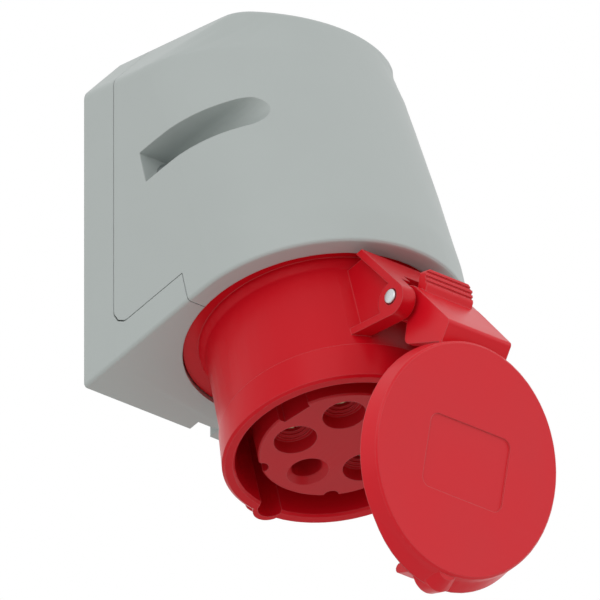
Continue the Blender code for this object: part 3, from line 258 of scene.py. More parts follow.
def moulded(name, colour, roughness, gloss, grain, depth, cloud, edge):
    """Injection-moulded plastic: an eroded grain, faint flow clouds, soft edges, and a painted highlight
    that pales the colour along the edges.
    """
    sizes = settings()[1]
    made, tree, shader = start_material(name)
    place = add_node(tree, "ShaderNodeTexCoord").outputs["Object"]
    soft = add_node(tree, "ShaderNodeBevel", {"Radius": sizes.edge_softness}, samples=6)
    true_normal = add_node(tree, "ShaderNodeNewGeometry").outputs["Normal"]
    turn = add_node(tree, "ShaderNodeVectorMath", {0: soft.outputs[0], 1: true_normal},
                    operation="DOT_PRODUCT")
    # Mask of the painted edge highlight: where the softened normal turns away from the face's own
    edge_highlight_mask = add_node(tree, "ShaderNodeMapRange", {"Value": turn.outputs["Value"], "From Min": 0.995,
                                                "From Max": 0.86})
    flow = add_node(tree, "ShaderNodeTexNoise", {"Vector": place, "Scale": 1 / sizes.flow, "Detail": 3.0,
                                                 "Roughness": 0.45})
    shade = add_node(tree, "ShaderNodeMapRange", {"Value": flow.outputs[0], "From Min": 0.3, "From Max": 0.7,
                                                  "To Min": 1 - cloud, "To Max": 1 + cloud})
    base = add_node(tree, "ShaderNodeVectorMath", {0: colour[:3], "Scale": shade.outputs[0]},
                    operation="SCALE")
    # Painted highlight: the colour paled towards white along the edges, as if they caught the light
    pale = [c + (1 - c) * 0.22 for c in colour[:3]]
    painted_edge_highlight = add_node(tree, "ShaderNodeMath", {0: edge_highlight_mask.outputs[0], 1: edge}, operation="MULTIPLY")
    mixed = add_node(tree, "ShaderNodeMix", {"Factor": painted_edge_highlight.outputs[0], 4: base.outputs[0], 5: pale},
                     data_type="VECTOR")
    rough = add_node(tree, "ShaderNodeMapRange", {"Value": flow.outputs[0], "From Min": 0.3, "From Max": 0.7,
                                                  "To Min": roughness - 0.04, "To Max": roughness + 0.04})
    fine = add_node(tree, "ShaderNodeTexNoise", {"Vector": place, "Scale": 1 / grain, "Detail": 2.0})
    bump = add_node(tree, "ShaderNodeBump", {"Height": fine.outputs[0], "Normal": soft.outputs[0],
                                             "Strength": 0.6, "Distance": depth})
    tree.links.new(mixed.outputs[1], shader.inputs["Base Color"])
    tree.links.new(rough.outputs[0], shader.inputs["Roughness"])
    tree.links.new(bump.outputs[0], shader.inputs["Normal"])
    shader.inputs["IOR"].default_value = POLYAMIDE_IOR
    shader.inputs["Specular IOR Level"].default_value = gloss
    return made


def plated(name, colour, roughness, mark, stretch):
    """Plated metal: a slightly cloudy plating over fine tool marks."""
    made, tree, shader = start_material(name)
    place = add_node(tree, "ShaderNodeTexCoord").outputs["Object"]
    turned = add_node(tree, "ShaderNodeMapping", {"Vector": place, "Rotation": (TILT, 0.0, 0.0),
                                                  "Scale": stretch})
    marks = add_node(tree, "ShaderNodeTexNoise", {"Vector": turned.outputs[0], "Scale": 1 / mark,
                                                  "Detail": 3.0})
    clouds = add_node(tree, "ShaderNodeTexNoise", {"Vector": place, "Scale": 1 / (3.0 * MM), "Detail": 2.0})
    shade = add_node(tree, "ShaderNodeMapRange", {"Value": clouds.outputs[0], "From Min": 0.3,
                                                  "From Max": 0.7, "To Min": 0.93, "To Max": 1.04})
    base = add_node(tree, "ShaderNodeVectorMath", {0: colour[:3], "Scale": shade.outputs[0]},
                    operation="SCALE")
    rough = add_node(tree, "ShaderNodeMapRange", {"Value": marks.outputs[0], "From Min": 0.3,
                                                  "From Max": 0.7, "To Min": roughness - 0.06,
                                                  "To Max": roughness + 0.08})
    soft = add_node(tree, "ShaderNodeBevel", {"Radius": 0.15 * MM}, samples=6)
    bump = add_node(tree, "ShaderNodeBump", {"Height": marks.outputs[0], "Normal": soft.outputs[0],
                                             "Strength": 0.5, "Distance": 0.006 * MM})
    tree.links.new(base.outputs[0], shader.inputs["Base Color"])
    tree.links.new(rough.outputs[0], shader.inputs["Roughness"])
    tree.links.new(bump.outputs[0], shader.inputs["Normal"])
    shader.inputs["Metallic"].default_value = 1.0
    return made


def rubber(name, colour):
    """Moulded EPDM rubber: nearly black, matt, with a faint grey bloom."""
    made, tree, shader = start_material(name)
    place = add_node(tree, "ShaderNodeTexCoord").outputs["Object"]
    bloom = add_node(tree, "ShaderNodeTexNoise", {"Vector": place, "Scale": 1 / (6.0 * MM), "Detail": 4.0})
    grey = [c * 0.6 + 0.03 for c in colour[:3]]
    mixed = add_node(tree, "ShaderNodeMix", {"Factor": bloom.outputs[0], 4: colour[:3], 5: grey},
                     data_type="VECTOR")
    rough = add_node(tree, "ShaderNodeMapRange", {"Value": bloom.outputs[0], "To Min": 0.62, "To Max": 0.85})
    fine = add_node(tree, "ShaderNodeTexNoise", {"Vector": place, "Scale": 1 / (0.35 * MM), "Detail": 2.0})
    soft = add_node(tree, "ShaderNodeBevel", {"Radius": 0.25 * MM}, samples=6)
    bump = add_node(tree, "ShaderNodeBump", {"Height": fine.outputs[0], "Normal": soft.outputs[0],
                                             "Strength": 0.5, "Distance": 0.02 * MM})
    tree.links.new(mixed.outputs[1], shader.inputs["Base Color"])
    tree.links.new(rough.outputs[0], shader.inputs["Roughness"])
    tree.links.new(bump.outputs[0], shader.inputs["Normal"])
    return made


def finish(name):
    """The finish for a slot, made once."""
    label = name + "_finish"
    if label in bpy.data.materials:
        return bpy.data.materials[label]
    colours, sizes, _ = settings()
    if name == "grey_polyamide":
        # Eroded mould: satin, with a grain that only shows in the highlights
        return moulded(label, colours.hood_grey, roughness=0.46, gloss=0.4, grain=sizes.grain,
                       depth=sizes.grain_depth, cloud=0.012, edge=0.5)
    if name == "red_polyamide":
        # Polished mould: deep saturated red with a satin gloss
        return moulded(label, colours.socket_red, roughness=0.32, gloss=0.16, grain=0.7 * MM,
                       depth=0.006 * MM, cloud=0.02, edge=0.35)
    if name == "lit_lid_polyamide":
        # Same moulding, a little less polished and hazier than the housing; its brighter red is painted
        # light for the lid's better-lit face
        return moulded(label, colours.lit_lid_red, roughness=0.34, gloss=0.3, grain=0.7 * MM,
                       depth=0.006 * MM, cloud=0.02, edge=0.35)
    if name == "carrier_red":
        # Mineral-filled insert: duller and rougher than the housing
        return moulded(label, colours.insert_red, roughness=0.45, gloss=0.32, grain=0.45 * MM,
                       depth=0.012 * MM, cloud=0.03, edge=0.3)
    if name == "black_plate":
        # Glass-filled polyamide: matt black with short fibres at the skin
        return moulded(label, colours.plate_black, roughness=0.6, gloss=0.4, grain=0.4 * MM,
                       depth=0.02 * MM, cloud=0.12, edge=0.2)
    if name == "black_rubber":
        return rubber(label, colours.rubber_black)
    if name == "nickel_brass":
        # Nickel over turned brass: warm grey, with marks round the sleeve
        return plated(label, colours.nickel, roughness=0.3, mark=0.12 * MM, stretch=(0.15, 0.15, 1.0))
    if name == "spring_steel":
        # Drawn wire: grey and evenly marked
        return plated(label, colours.spring_wire, roughness=0.34, mark=0.2 * MM, stretch=(1.0, 1.0, 1.0))
    # Zinc plate over cold-headed steel: bright, with a fine even grain
    return plated(label, colours.zinc, roughness=0.3, mark=0.25 * MM, stretch=(1.0, 1.0, 1.0))


def new_object(name, mesh):
    """Links a mesh to the scene under a name."""
    mesh.name = name
    made = bpy.data.objects.new(name, mesh)
    bpy.context.scene.collection.objects.link(made)
    return made


def place_piece(piece, slot, nodes, surface=None):
    """Gives a piece its finish, hangs it on the body of the solids it stands for, and hides those solids."""
    piece.data.materials.clear()
    piece.data.materials.append(finish(surface or slot))
    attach(piece, frame["nodes"][nodes[0]]["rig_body"])
    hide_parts(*nodes)
    return piece


def smooth(mesh, angle=32.0):
    """Shades a mesh smooth up to an angle between faces."""
    mesh.polygons.foreach_set("use_smooth", [True] * len(mesh.polygons))
    mesh.set_sharp_from_angle(angle=math.radians(angle))


def evaluated_mesh(thing):
    """The plain mesh that an object's modifiers give."""
    bpy.context.view_layer.update()
    depsgraph = bpy.context.evaluated_depsgraph_get()
    return bpy.data.meshes.new_from_object(thing.evaluated_get(depsgraph))


def read_array(items, key, width, kind=float):
    """Reads one value of every item of a mesh into an array with a row for each item."""
    flat = np.zeros(len(items) * width, dtype=kind)
    items.foreach_get(key, flat)
    return flat.reshape(-1, width)


def refine_curves(piece):
    """Splits each face in four, with every new point on the arc between its edge's two normals."""
    given = evaluated_mesh(piece)
    points = read_array(given.vertices, "co", 3)
    ends = read_array(given.edges, "vertices", 2, int)
    corners = read_array(given.loops, "vertex_index", 1, int).reshape(-1, 3)
    sides = read_array(given.loops, "edge_index", 1, int).reshape(-1, 3)
    normals = read_array(given.corner_normals, "vector", 3).reshape(-1, 3, 3)
    sharp = read_array(given.edges, "use_edge_sharp", 1, bool)
    following = np.roll(normals, -1, axis=1)
    run = points[np.roll(corners, -1, axis=1)] - points[corners]
    rise = -(run * normals).sum(axis=2)
    fall = (run * following).sum(axis=2)
    bend = np.where(rise * fall > 0, np.sign(rise) * np.minimum(abs(rise), abs(fall)), 0.0)
    lift = np.zeros((len(ends), 3))
    np.add.at(lift, sides, bend[:, :, None] * (normals + following) / 8)
    # Both faces of a smooth edge ask for the same lift, so half of their sum is taken
    lift *= np.where(sharp, 1.0, 0.5)
    middles = points[ends].mean(axis=1) + lift
    # No new point leaves the piece's own box
    middles = np.clip(middles, points.min(axis=0), points.max(axis=0))
    a, b, c = corners.T
    ab, bc, ca = (sides + len(points)).T
    faces = np.concatenate([np.stack(face, axis=1) for face in
                            ((a, ab, ca), (b, bc, ab), (c, ca, bc), (ab, bc, ca))])
    mesh = bpy.data.meshes.new(piece.name)
    mesh.from_pydata(np.concatenate([points, middles]).tolist(), [], faces.tolist())
    piece.data = mesh


def surfaced(name, node, slot, angle=30.0, surface=None):
    """A welded, smooth copy of a solid, shaded by its large faces, with its curves made finer."""
    mesh = frame["nodes"][node].data.copy()
    work = bmesh.new()
    work.from_mesh(mesh)
    bmesh.ops.remove_doubles(work, verts=work.verts, dist=WELD)
    bmesh.ops.triangulate(work, faces=work.faces)
    work.to_mesh(mesh)
    work.free()
    if mesh.has_custom_normals:
        mesh.attributes.remove(mesh.attributes["custom_normal"])
    smooth(mesh, angle)
    piece = new_object(name, mesh)
    weighted = piece.modifiers.new("weighted", "WEIGHTED_NORMAL")
    weighted.keep_sharp = True
    weighted.weight = 60
    for _ in range(CURVE_PASSES):
        refine_curves(piece)
        smooth(piece.data, angle)
    return place_piece(piece, slot, [node], surface)


def lathe(profile, segments):
    """A turned solid about Z from (radius, height) pairs, closed by a flat face at each end."""
    work = bmesh.new()
    rings = []
    for radius, height in profile:
        turns = [2 * math.pi * i / segments for i in range(segments)]
        rings.append([work.verts.new((radius * math.cos(a), radius * math.sin(a), height)) for a in turns])
    for lower, upper in zip(rings, rings[1:]):
        for i in range(segments):
            j = (i + 1) % segments
            work.faces.new((lower[i], lower[j], upper[j], upper[i]))
    work.faces.new(rings[0])
    work.faces.new(rings[-1])
    bmesh.ops.recalc_face_normals(work, faces=work.faces)
    mesh = bpy.data.meshes.new("turned")
    work.to_mesh(mesh)
    work.free()
    smooth(mesh)
    return mesh


def carve(mesh, cutters):
    """Cuts closed meshes out of a mesh."""
    body = new_object("carved", mesh)
    tools = []
    for index, cutter in enumerate(cutters):
        tool = new_object(f"cutter_{index}", cutter)
        tools.append(tool)
        modifier = body.modifiers.new("carve", "BOOLEAN")
        modifier.operation = "DIFFERENCE"
        modifier.solver = "EXACT"
        modifier.object = tool
    result = evaluated_mesh(body)
    for thing in [body] + tools:
        bpy.data.objects.remove(thing, do_unlink=True)
    smooth(result)
    return result


def start_tree(name, inputs):
    """A geometry tree with named inputs and one output."""
    tree = bpy.data.node_groups.new(name, "GeometryNodeTree")
    tree.interface.new_socket(name="Geometry", in_out="OUTPUT", socket_type="NodeSocketGeometry")
    for label, kind in inputs:
        tree.interface.new_socket(name=label, in_out="INPUT", socket_type="NodeSocket" + kind)
    return tree, add_node(tree, "NodeGroupInput").outputs


def end_tree(tree, shape, surface):
    """Realizes the instances, sets the finish and closes the tree."""
    real = add_node(tree, "GeometryNodeRealizeInstances", {0: shape})
    dressed = add_node(tree, "GeometryNodeSetMaterial", {"Geometry": real.outputs[0],
                                                         "Material": finish(surface)})
    add_node(tree, "NodeGroupOutput", {"Geometry": dressed.outputs[0]})


def grow(name, tree, values, place):
    """Runs a geometry tree and keeps its result as a plain mesh at its place."""
    seed = new_object(name + "_seed", bpy.data.meshes.new("seed"))
    modifier = seed.modifiers.new("grow", "NODES")
    modifier.node_group = tree
    for item in tree.interface.items_tree:
        if item.in_out == "INPUT" and item.name in values:
            modifier[item.identifier] = values[item.name]
    mesh = evaluated_mesh(seed)
    seed.modifiers.clear()
    bpy.data.objects.remove(seed, do_unlink=True)
    if not mesh.polygons:
        raise RuntimeError(f"{name} came out empty")
    mesh.transform(place)
    return new_object(name, mesh)


def ring_of_parts_tree(surface):
    """Copies of one part on a circle, each turned to face out from its centre."""
    tree, given = start_tree("Ring of parts", [("Part", "Object"), ("Count", "Int"),
                                               ("Circle Radius", "Float"), ("First Angle", "Float"),
                                               ("Left Out", "Int")])
    circle = add_node(tree, "GeometryNodeMeshLine", {"Count": given["Count"], "Offset": (0.0, 0.0, 0.0)})
    index = add_node(tree, "GeometryNodeInputIndex").outputs[0]
    whole = add_node(tree, "ShaderNodeMath", {0: 2 * math.pi, 1: given["Count"]},
                     operation="DIVIDE").outputs[0]
    angle = add_node(tree, "ShaderNodeMath", {0: index, 1: whole, 2: given["First Angle"]},
                     operation="MULTIPLY_ADD").outputs[0]
    across = add_node(tree, "ShaderNodeMath", {0: angle}, operation="COSINE").outputs[0]
    along = add_node(tree, "ShaderNodeMath", {0: angle}, operation="SINE").outputs[0]
    spoke = add_node(tree, "ShaderNodeCombineXYZ", {"X": across, "Y": along}).outputs[0]
    seat = add_node(tree, "ShaderNodeVectorMath", {0: spoke, "Scale": given["Circle Radius"]},
                    operation="SCALE")
    points = add_node(tree, "GeometryNodeSetPosition", {"Geometry": circle.outputs[0],
                                                        "Position": seat.outputs[0]})
    kept = add_node(tree, "FunctionNodeCompare", {2: index, 3: given["Left Out"]}, data_type="INT",
                    operation="GREATER_EQUAL").outputs[0]
    part = add_node(tree, "GeometryNodeObjectInfo", {"Object": given["Part"]})
    facing = add_node(tree, "ShaderNodeCombineXYZ", {"Z": angle}).outputs[0]
    copies = add_node(tree, "GeometryNodeInstanceOnPoints",
                      {"Points": points.outputs[0], "Selection": kept, "Instance": part.outputs["Geometry"],
                       "Rotation": facing})
    end_tree(tree, copies.outputs[0], surface)
    return tree


def ring_of_parts(name, mesh, slot, nodes, count, radius, place, first=0.0, left_out=0):
    """Grows one piece from a ring of equal parts."""
    part = new_object(name + "_part", mesh)
    tree = ring_of_parts_tree(slot)
    values = {"Part": part, "Count": count, "Circle Radius": radius, "First Angle": first,
              "Left Out": left_out}
    piece = grow(name, tree, values, place)
    bpy.data.objects.remove(part, do_unlink=True)
    return place_piece(piece, slot, nodes)


def ring_tree(surface):
    """A ring with a rounded rectangular section, as a moulded seal has."""
    tree, given = start_tree("Moulded ring", [("Ring Radius", "Float"), ("Section Width", "Float"),
                                              ("Section Height", "Float"), ("Corner Radius", "Float")])
    path = add_node(tree, "GeometryNodeCurvePrimitiveCircle", {"Resolution": 96,
                                                               "Radius": given["Ring Radius"]})
    section = add_node(tree, "GeometryNodeCurvePrimitiveQuadrilateral",
                       {"Width": given["Section Width"], "Height": given["Section Height"]})
    corners = add_node(tree, "GeometryNodeFilletCurve",
                       {"Curve": section.outputs[0], "Radius": given["Corner Radius"], "Count": 3},
                       mode="POLY")
    upright = add_node(tree, "GeometryNodeSetCurveNormal", {"Curve": path.outputs[0]}, mode="Z_UP")
    swept = add_node(tree, "GeometryNodeCurveToMesh", {"Curve": upright.outputs[0],
                                                       "Profile Curve": corners.outputs[0]})
    end_tree(tree, swept.outputs[0], surface)
    return tree


def spring_tree(surface):
    """A torsion spring about X: a helix whose first and last points lead off as straight legs."""
    tree, given = start_tree("Torsion spring", [("Steps", "Int"), ("First Angle", "Float"),
                                                ("Sweep", "Float"), ("Coil Radius", "Float"),
                                                ("Coil Length", "Float"), ("Wire Radius", "Float"),
                                                ("First Leg", "Float"), ("Last Leg", "Float")])
    count = add_node(tree, "ShaderNodeMath", {0: given["Steps"], 1: 3.0}, operation="ADD").outputs[0]
    line = add_node(tree, "GeometryNodeMeshLine", {"Count": count, "Offset": (MM, 0.0, 0.0)})
    wire = add_node(tree, "GeometryNodeMeshToCurve", {"Mesh": line.outputs[0]})
    index = add_node(tree, "GeometryNodeInputIndex").outputs[0]
    before = add_node(tree, "ShaderNodeMath", {0: index, 1: 1.0}, operation="SUBTRACT").outputs[0]
    part = add_node(tree, "ShaderNodeMath", {0: before, 1: given["Steps"]}, operation="DIVIDE",
                    use_clamp=True).outputs[0]
    angle = add_node(tree, "ShaderNodeMath", {0: part, 1: given["Sweep"], 2: given["First Angle"]},
                     operation="MULTIPLY_ADD").outputs[0]
    ahead = add_node(tree, "ShaderNodeMath", {0: angle}, operation="COSINE").outputs[0]
    above = add_node(tree, "ShaderNodeMath", {0: angle}, operation="SINE").outputs[0]
    spoke = add_node(tree, "ShaderNodeCombineXYZ", {"Y": ahead, "Z": above}).outputs[0]
    coil = add_node(tree, "ShaderNodeVectorMath", {0: spoke, "Scale": given["Coil Radius"]},
                    operation="SCALE").outputs[0]
    shift = add_node(tree, "ShaderNodeMath", {0: part, 1: 0.5}, operation="SUBTRACT").outputs[0]
    sideways = add_node(tree, "ShaderNodeMath", {0: shift, 1: given["Coil Length"]},
                        operation="MULTIPLY").outputs[0]
    axial = add_node(tree, "ShaderNodeCombineXYZ", {"X": sideways}).outputs[0]
    back = add_node(tree, "ShaderNodeMath", {0: above, 1: -1.0}, operation="MULTIPLY").outputs[0]
    tangent = add_node(tree, "ShaderNodeCombineXYZ", {"Y": back, "Z": ahead}).outputs[0]
    is_first = add_node(tree, "ShaderNodeMath", {0: index, 1: 0.5}, operation="LESS_THAN").outputs[0]
    end = add_node(tree, "ShaderNodeMath", {0: given["Steps"], 1: 1.5}, operation="ADD").outputs[0]
    is_last = add_node(tree, "ShaderNodeMath", {0: index, 1: end}, operation="GREATER_THAN").outputs[0]
    start_leg = add_node(tree, "ShaderNodeMath", {0: is_first, 1: given["First Leg"]},
                         operation="MULTIPLY").outputs[0]
    end_leg = add_node(tree, "ShaderNodeMath", {0: is_last, 1: given["Last Leg"]},
                       operation="MULTIPLY").outputs[0]
    reach = add_node(tree, "ShaderNodeMath", {0: end_leg, 1: start_leg}, operation="SUBTRACT").outputs[0]
    straight = add_node(tree, "ShaderNodeVectorMath", {0: tangent, "Scale": reach},
                        operation="SCALE").outputs[0]
    wound = add_node(tree, "ShaderNodeVectorMath", {0: coil, 1: axial}, operation="ADD").outputs[0]
    seat = add_node(tree, "ShaderNodeVectorMath", {0: wound, 1: straight}, operation="ADD").outputs[0]
    bent = add_node(tree, "GeometryNodeSetPosition", {"Geometry": wire.outputs[0], "Position": seat})
    section = add_node(tree, "GeometryNodeCurvePrimitiveCircle", {"Resolution": 10,
                                                                  "Radius": given["Wire Radius"]})
    swept = add_node(tree, "GeometryNodeCurveToMesh", {"Curve": bent.outputs[0],
                                                       "Profile Curve": section.outputs[0],
                                                       "Fill Caps": True})
    end_tree(tree, swept.outputs[0], surface)
    return tree


def cross_cutter(radius, depth, top):
    """A cross-shaped tool for a screw's recess, narrower at its foot."""
    work = bmesh.new()
    half = radius * 0.2
    foot = 0.55
    arm = [(radius, -half), (radius, half), (half, half)]
    outline = []
    for _ in range(4):
        outline += arm
        arm = [(-y, x) for x, y in arm]
    low = [work.verts.new((x * foot, y * foot, top - depth)) for x, y in outline]
    high = [work.verts.new((x, y, top + 0.2 * MM)) for x, y in outline]
    work.faces.new(low)
    work.faces.new(high)
    for i in range(len(outline)):
        j = (i + 1) % len(outline)
        work.faces.new((low[i], low[j], high[j], high[i]))
    bmesh.ops.recalc_face_normals(work, faces=work.faces)
    mesh = bpy.data.meshes.new("cross")
    work.to_mesh(mesh)
    work.free()
    return mesh


def screw_mesh(shank_radius, head_radius, head_height, length, pitch):
    """A cross-head screw about Z: head upwards from Z = 0, threaded shank below."""
    root = shank_radius * ROOT_SHARE
    height = -length + shank_radius
    profile = [(shank_radius * POINT_SHARE, -length), (root, height)]
    while height + 2 * pitch < -PLAIN_NECK:
        profile += [(shank_radius, height + pitch * 0.5), (root, height + pitch)]
        height += pitch
    profile += [(shank_radius, height + pitch), (shank_radius, 0.0), (head_radius, 0.0),
                (head_radius, head_height * HEAD_WALL)]
    for step in range(1, 5):
        angle = step / 4 * HEAD_DOME
        rise = (1 - HEAD_WALL) * math.sin(angle) / math.sin(HEAD_DOME)
        profile.append((head_radius * math.cos(angle), head_height * (HEAD_WALL + rise)))
    recess = cross_cutter(head_radius * RECESS_RADIUS_SHARE, head_height * RECESS_DEPTH_SHARE, head_height)
    return carve(lathe(profile, 32), [recess])


def slotted_cutter(width, length, low, high):
    """A flat blade across X for a slot."""
    work = bmesh.new()
    bmesh.ops.create_cube(work, size=1.0, matrix=Matrix.Translation((0, 0, (low + high) / 2)) @
                          Matrix.Diagonal((length, width, high - low, 1.0)))
    mesh = bpy.data.meshes.new("slot")
    work.to_mesh(mesh)
    work.free()
    return mesh


class WALLSOCKET_OT_enclosure(bpy.types.Operator):
    """Dress the hood and the back box"""
    bl_idname = "wall_socket.enclosure"
    bl_label = "Enclosure"

    def relax(self, hood):
        """Evens out the blend between shoulder and nose, above the scoops and clear of the seam."""
        group = hood.vertex_groups.new(name="blend")
        for vertex in hood.data.vertices:
            above = (vertex.co.z - BLEND_START) / BLEND_RAMP
            ahead = (-SEAM_CLEAR - vertex.co.y) / BLEND_RAMP
            group.add([vertex.index], min(max(min(above, ahead), 0.0), 1.0), "REPLACE")
        even = hood.modifiers.new("even", "SMOOTH")
        even.factor = 0.5
        even.iterations = BLEND_ROUNDS
        even.vertex_group = group.name
        # Before the weighted normals, which are worked out from the shape that it leaves
        hood.modifiers.move(1, 0)

    def execute(self, context):
        self.relax(surfaced("hood_shell", "hood", "grey_polyamide"))
        surfaced("back_shell", "back_box", "grey_polyamide")
        return {"FINISHED"}


class WALLSOCKET_OT_housing(bpy.types.Operator):
    """Dress the angled socket housing with its ears"""
    bl_idname = "wall_socket.housing"
    bl_label = "Socket housing"

    def execute(self, context):
        surfaced("socket_body", "socket_housing", "red_polyamide")
        return {"FINISHED"}


class WALLSOCKET_OT_insert(bpy.types.Operator):
    """Dress the contact insert and the plate behind it"""
    bl_idname = "wall_socket.insert"
    bl_label = "Contact insert"

    def execute(self, context):
        surfaced("contact_insert", "contact_carrier", "carrier_red")
        surfaced("retainer_plate", "contact_retainer", "black_plate")
        return {"FINISHED"}


class WALLSOCKET_OT_lid(bpy.types.Operator):
    """Dress the sprung lid and its gasket"""
    bl_idname = "wall_socket.lid"
    bl_label = "Lid"

    def execute(self, context):
        surfaced("lid_cap", "lid", "red_polyamide", surface="lit_lid_polyamide")
        surfaced("lid_seal", "lid_gasket", "black_rubber")
        return {"FINISHED"}


class WALLSOCKET_OT_contacts(bpy.types.Operator):
    """Turn the slotted sleeves with their wire terminals"""
    bl_idname = "wall_socket.contacts"
    bl_label = "Contacts"

    def sleeve(self, bore, outer, sunk):
        """One sleeve about Z with its terminal block, slotted at the mouth."""
        front = CARRIER_FACE - sunk
        back = RETAINER_BACK - TERMINAL_LENGTH
        inset = TERMINAL_RADIUS - TERMINAL_EDGE
        profile = [(WIRE_HOLE_RADIUS, back + HOLE_DEPTH), (WIRE_HOLE_RADIUS, back), (inset, back),
                   (TERMINAL_RADIUS, back + TERMINAL_EDGE), (TERMINAL_RADIUS, RETAINER_BACK - TERMINAL_EDGE),
                   (inset, RETAINER_BACK), (outer, RETAINER_BACK), (outer, front - 0.5 * MM),
                   (outer - 0.15 * MM, front - 0.2 * MM), (outer - 0.4 * MM, front),
                   (bore + 0.15 * MM, front), (bore, front - 0.15 * MM), (bore, front - BORE_DEPTH)]
        turned = lathe(profile, 36)
        slots = []
        for turn in (45, 135):
            blade = slotted_cutter(SLOT_WIDTH, 2.4 * outer, front - SLOT_DEPTH, front + MM)
            blade.transform(Matrix.Rotation(math.radians(turn), 4, "Z"))
            slots.append(blade)
        hole = lathe([(CLAMP_HOLE_RADIUS, 0.0), (CLAMP_HOLE_RADIUS, HOLE_DEPTH)], 24)
        level = (back + RETAINER_BACK - 2 * MM) / 2
        hole.transform(Matrix.Translation((0, 0, level)) @ Matrix.Rotation(math.pi / 2, 4, "Y"))
        return carve(turned, slots + [hole])

    def execute(self, context):
        live = self.sleeve(*LIVE_SLEEVE)
        names = ["contact_line_1", "contact_line_2", "contact_line_3", "contact_neutral"]
        ring_of_parts("live_sleeves", live, "nickel_brass", names, CONTACT_COUNT, CONTACT_CIRCLE, SOCKET,
                      EARTH_ANGLE, left_out=1)
        earth = self.sleeve(*EARTH_SLEEVE)
        ring_of_parts("earth_sleeve", earth, "nickel_brass", ["contact_earth"], 1, CONTACT_CIRCLE, SOCKET,
                      EARTH_ANGLE)
        return {"FINISHED"}


class WALLSOCKET_OT_screws(bpy.types.Operator):
    """Cut the cross-head screws of the hood, the carrier and the terminals"""
    bl_idname = "wall_socket.screws"
    bl_label = "Screws"

    def execute(self, context):
        # Hood screws point back across the socket's axis, in the two scoops
        seat = SOCKET @ Matrix.Translation(HOOD_SCREW_SEAT) @ Matrix.Rotation(-math.pi / 2, 4, "X")
        ring_of_parts("hood_screws", screw_mesh(*HOOD_SCREW), "zinc_steel",
                      ["hood_screw_left", "hood_screw_right"], 2, HOOD_SCREW_X, seat)
        # Carrier and retainer screws have their heads towards the wall
        back = SOCKET @ Matrix.Rotation(math.pi, 4, "X")
        ring_of_parts("carrier_screws", screw_mesh(*CARRIER_SCREW), "zinc_steel",
                      ["carrier_screw_left", "carrier_screw_right"], 2, CARRIER_SCREW_CIRCLE,
                      back @ Matrix.Translation((0, 0, CARRIER_SCREW_SEAT)))
        ring_of_parts("retainer_centre_screw", screw_mesh(*RETAINER_SCREW), "zinc_steel", ["retainer_screw"],
                      1, 0.0, back @ Matrix.Translation((0, 0, RETAINER_SCREW_SEAT)))
        # Terminal screws point in at their terminals from outside the circle
        clamp = screw_mesh(*TERMINAL_SCREW)
        lying = Matrix.Rotation(math.pi / 2, 4, "Y")
        clamp.transform(Matrix.Translation((TERMINAL_SCREW_SEAT, 0, 0)) @ lying)
        level = RETAINER_BACK - TERMINAL_LENGTH / 2 - MM
        names = ["terminal_screw_" + word for word in ("earth", "line_1", "line_2", "line_3", "neutral")]
        ring_of_parts("terminal_screws", clamp, "zinc_steel", names, CONTACT_COUNT, CONTACT_CIRCLE,
                      SOCKET @ Matrix.Translation((0, 0, level)), EARTH_ANGLE)
        return {"FINISHED"}


class WALLSOCKET_OT_hinge(bpy.types.Operator):
    """Turn the hinge pin and wind the torsion spring"""
    bl_idname = "wall_socket.hinge"
    bl_label = "Hinge pin and spring"

    def execute(self, context):
        sizes = settings()[1]
        radius = sizes.pin_diameter / 2
        half = sizes.pin_length / 2
        turns = [math.radians(22.5 * step) for step in range(5)]
        round_end = [(radius - PIN_END_RADIUS * (1 - math.sin(a)), half - PIN_END_RADIUS * (1 - math.cos(a)))
                     for a in turns]
        profile = [(r, -h) for r, h in round_end] + [(r, h) for r, h in reversed(round_end)]
        mesh = lathe(profile, 48)
        across = SOCKET @ Matrix.Translation(PIN_PLACE + PIN_SHIFT) @ Matrix.Rotation(math.pi / 2, 4, "Y")
        mesh.transform(across)
        place_piece(new_object("lid_pin", mesh), "zinc_steel", ["hinge_pin"])
        values = {"Steps": sizes.turns * STEPS_PER_TURN, "First Angle": FIRST_LEG_ANGLE,
                  "Sweep": math.radians(180 + 360 * sizes.turns) - FIRST_LEG_ANGLE,
                  "Coil Radius": sizes.coil, "Coil Length": sizes.turns * TURN_PITCH,
                  "Wire Radius": sizes.wire / 2, "First Leg": FIRST_LEG, "Last Leg": LAST_LEG}
        place = SOCKET @ Matrix.Translation(PIN_PLACE)
        spring = grow("torsion_spring", spring_tree("spring_steel"), values, place)
        smooth(spring.data, 50.0)
        place_piece(spring, "zinc_steel", ["lid_spring"], "spring_steel")
        return {"FINISHED"}


class WALLSOCKET_OT_seals(bpy.types.Operator):
    """Mould the flange seal and the cable membrane"""
    bl_idname = "wall_socket.seals"
    bl_label = "Rubber seals"

    def execute(self, context):
        values = {"Ring Radius": SEAL_RADIUS, "Section Width": SEAL_WIDTH, "Section Height": SEAL_HEIGHT,
                  "Corner Radius": SEAL_CORNER}
        place = SOCKET @ Matrix.Translation((0, 0, SEAL_LEVEL))
        seal = grow("flange_ring", ring_tree("black_rubber"), values, place)
        smooth(seal.data, 50.0)
        place_piece(seal, "black_rubber", ["flange_seal"])
        surfaced("cable_membrane", "entry_grommet", "black_rubber", angle=40.0)
        return {"FINISHED"}


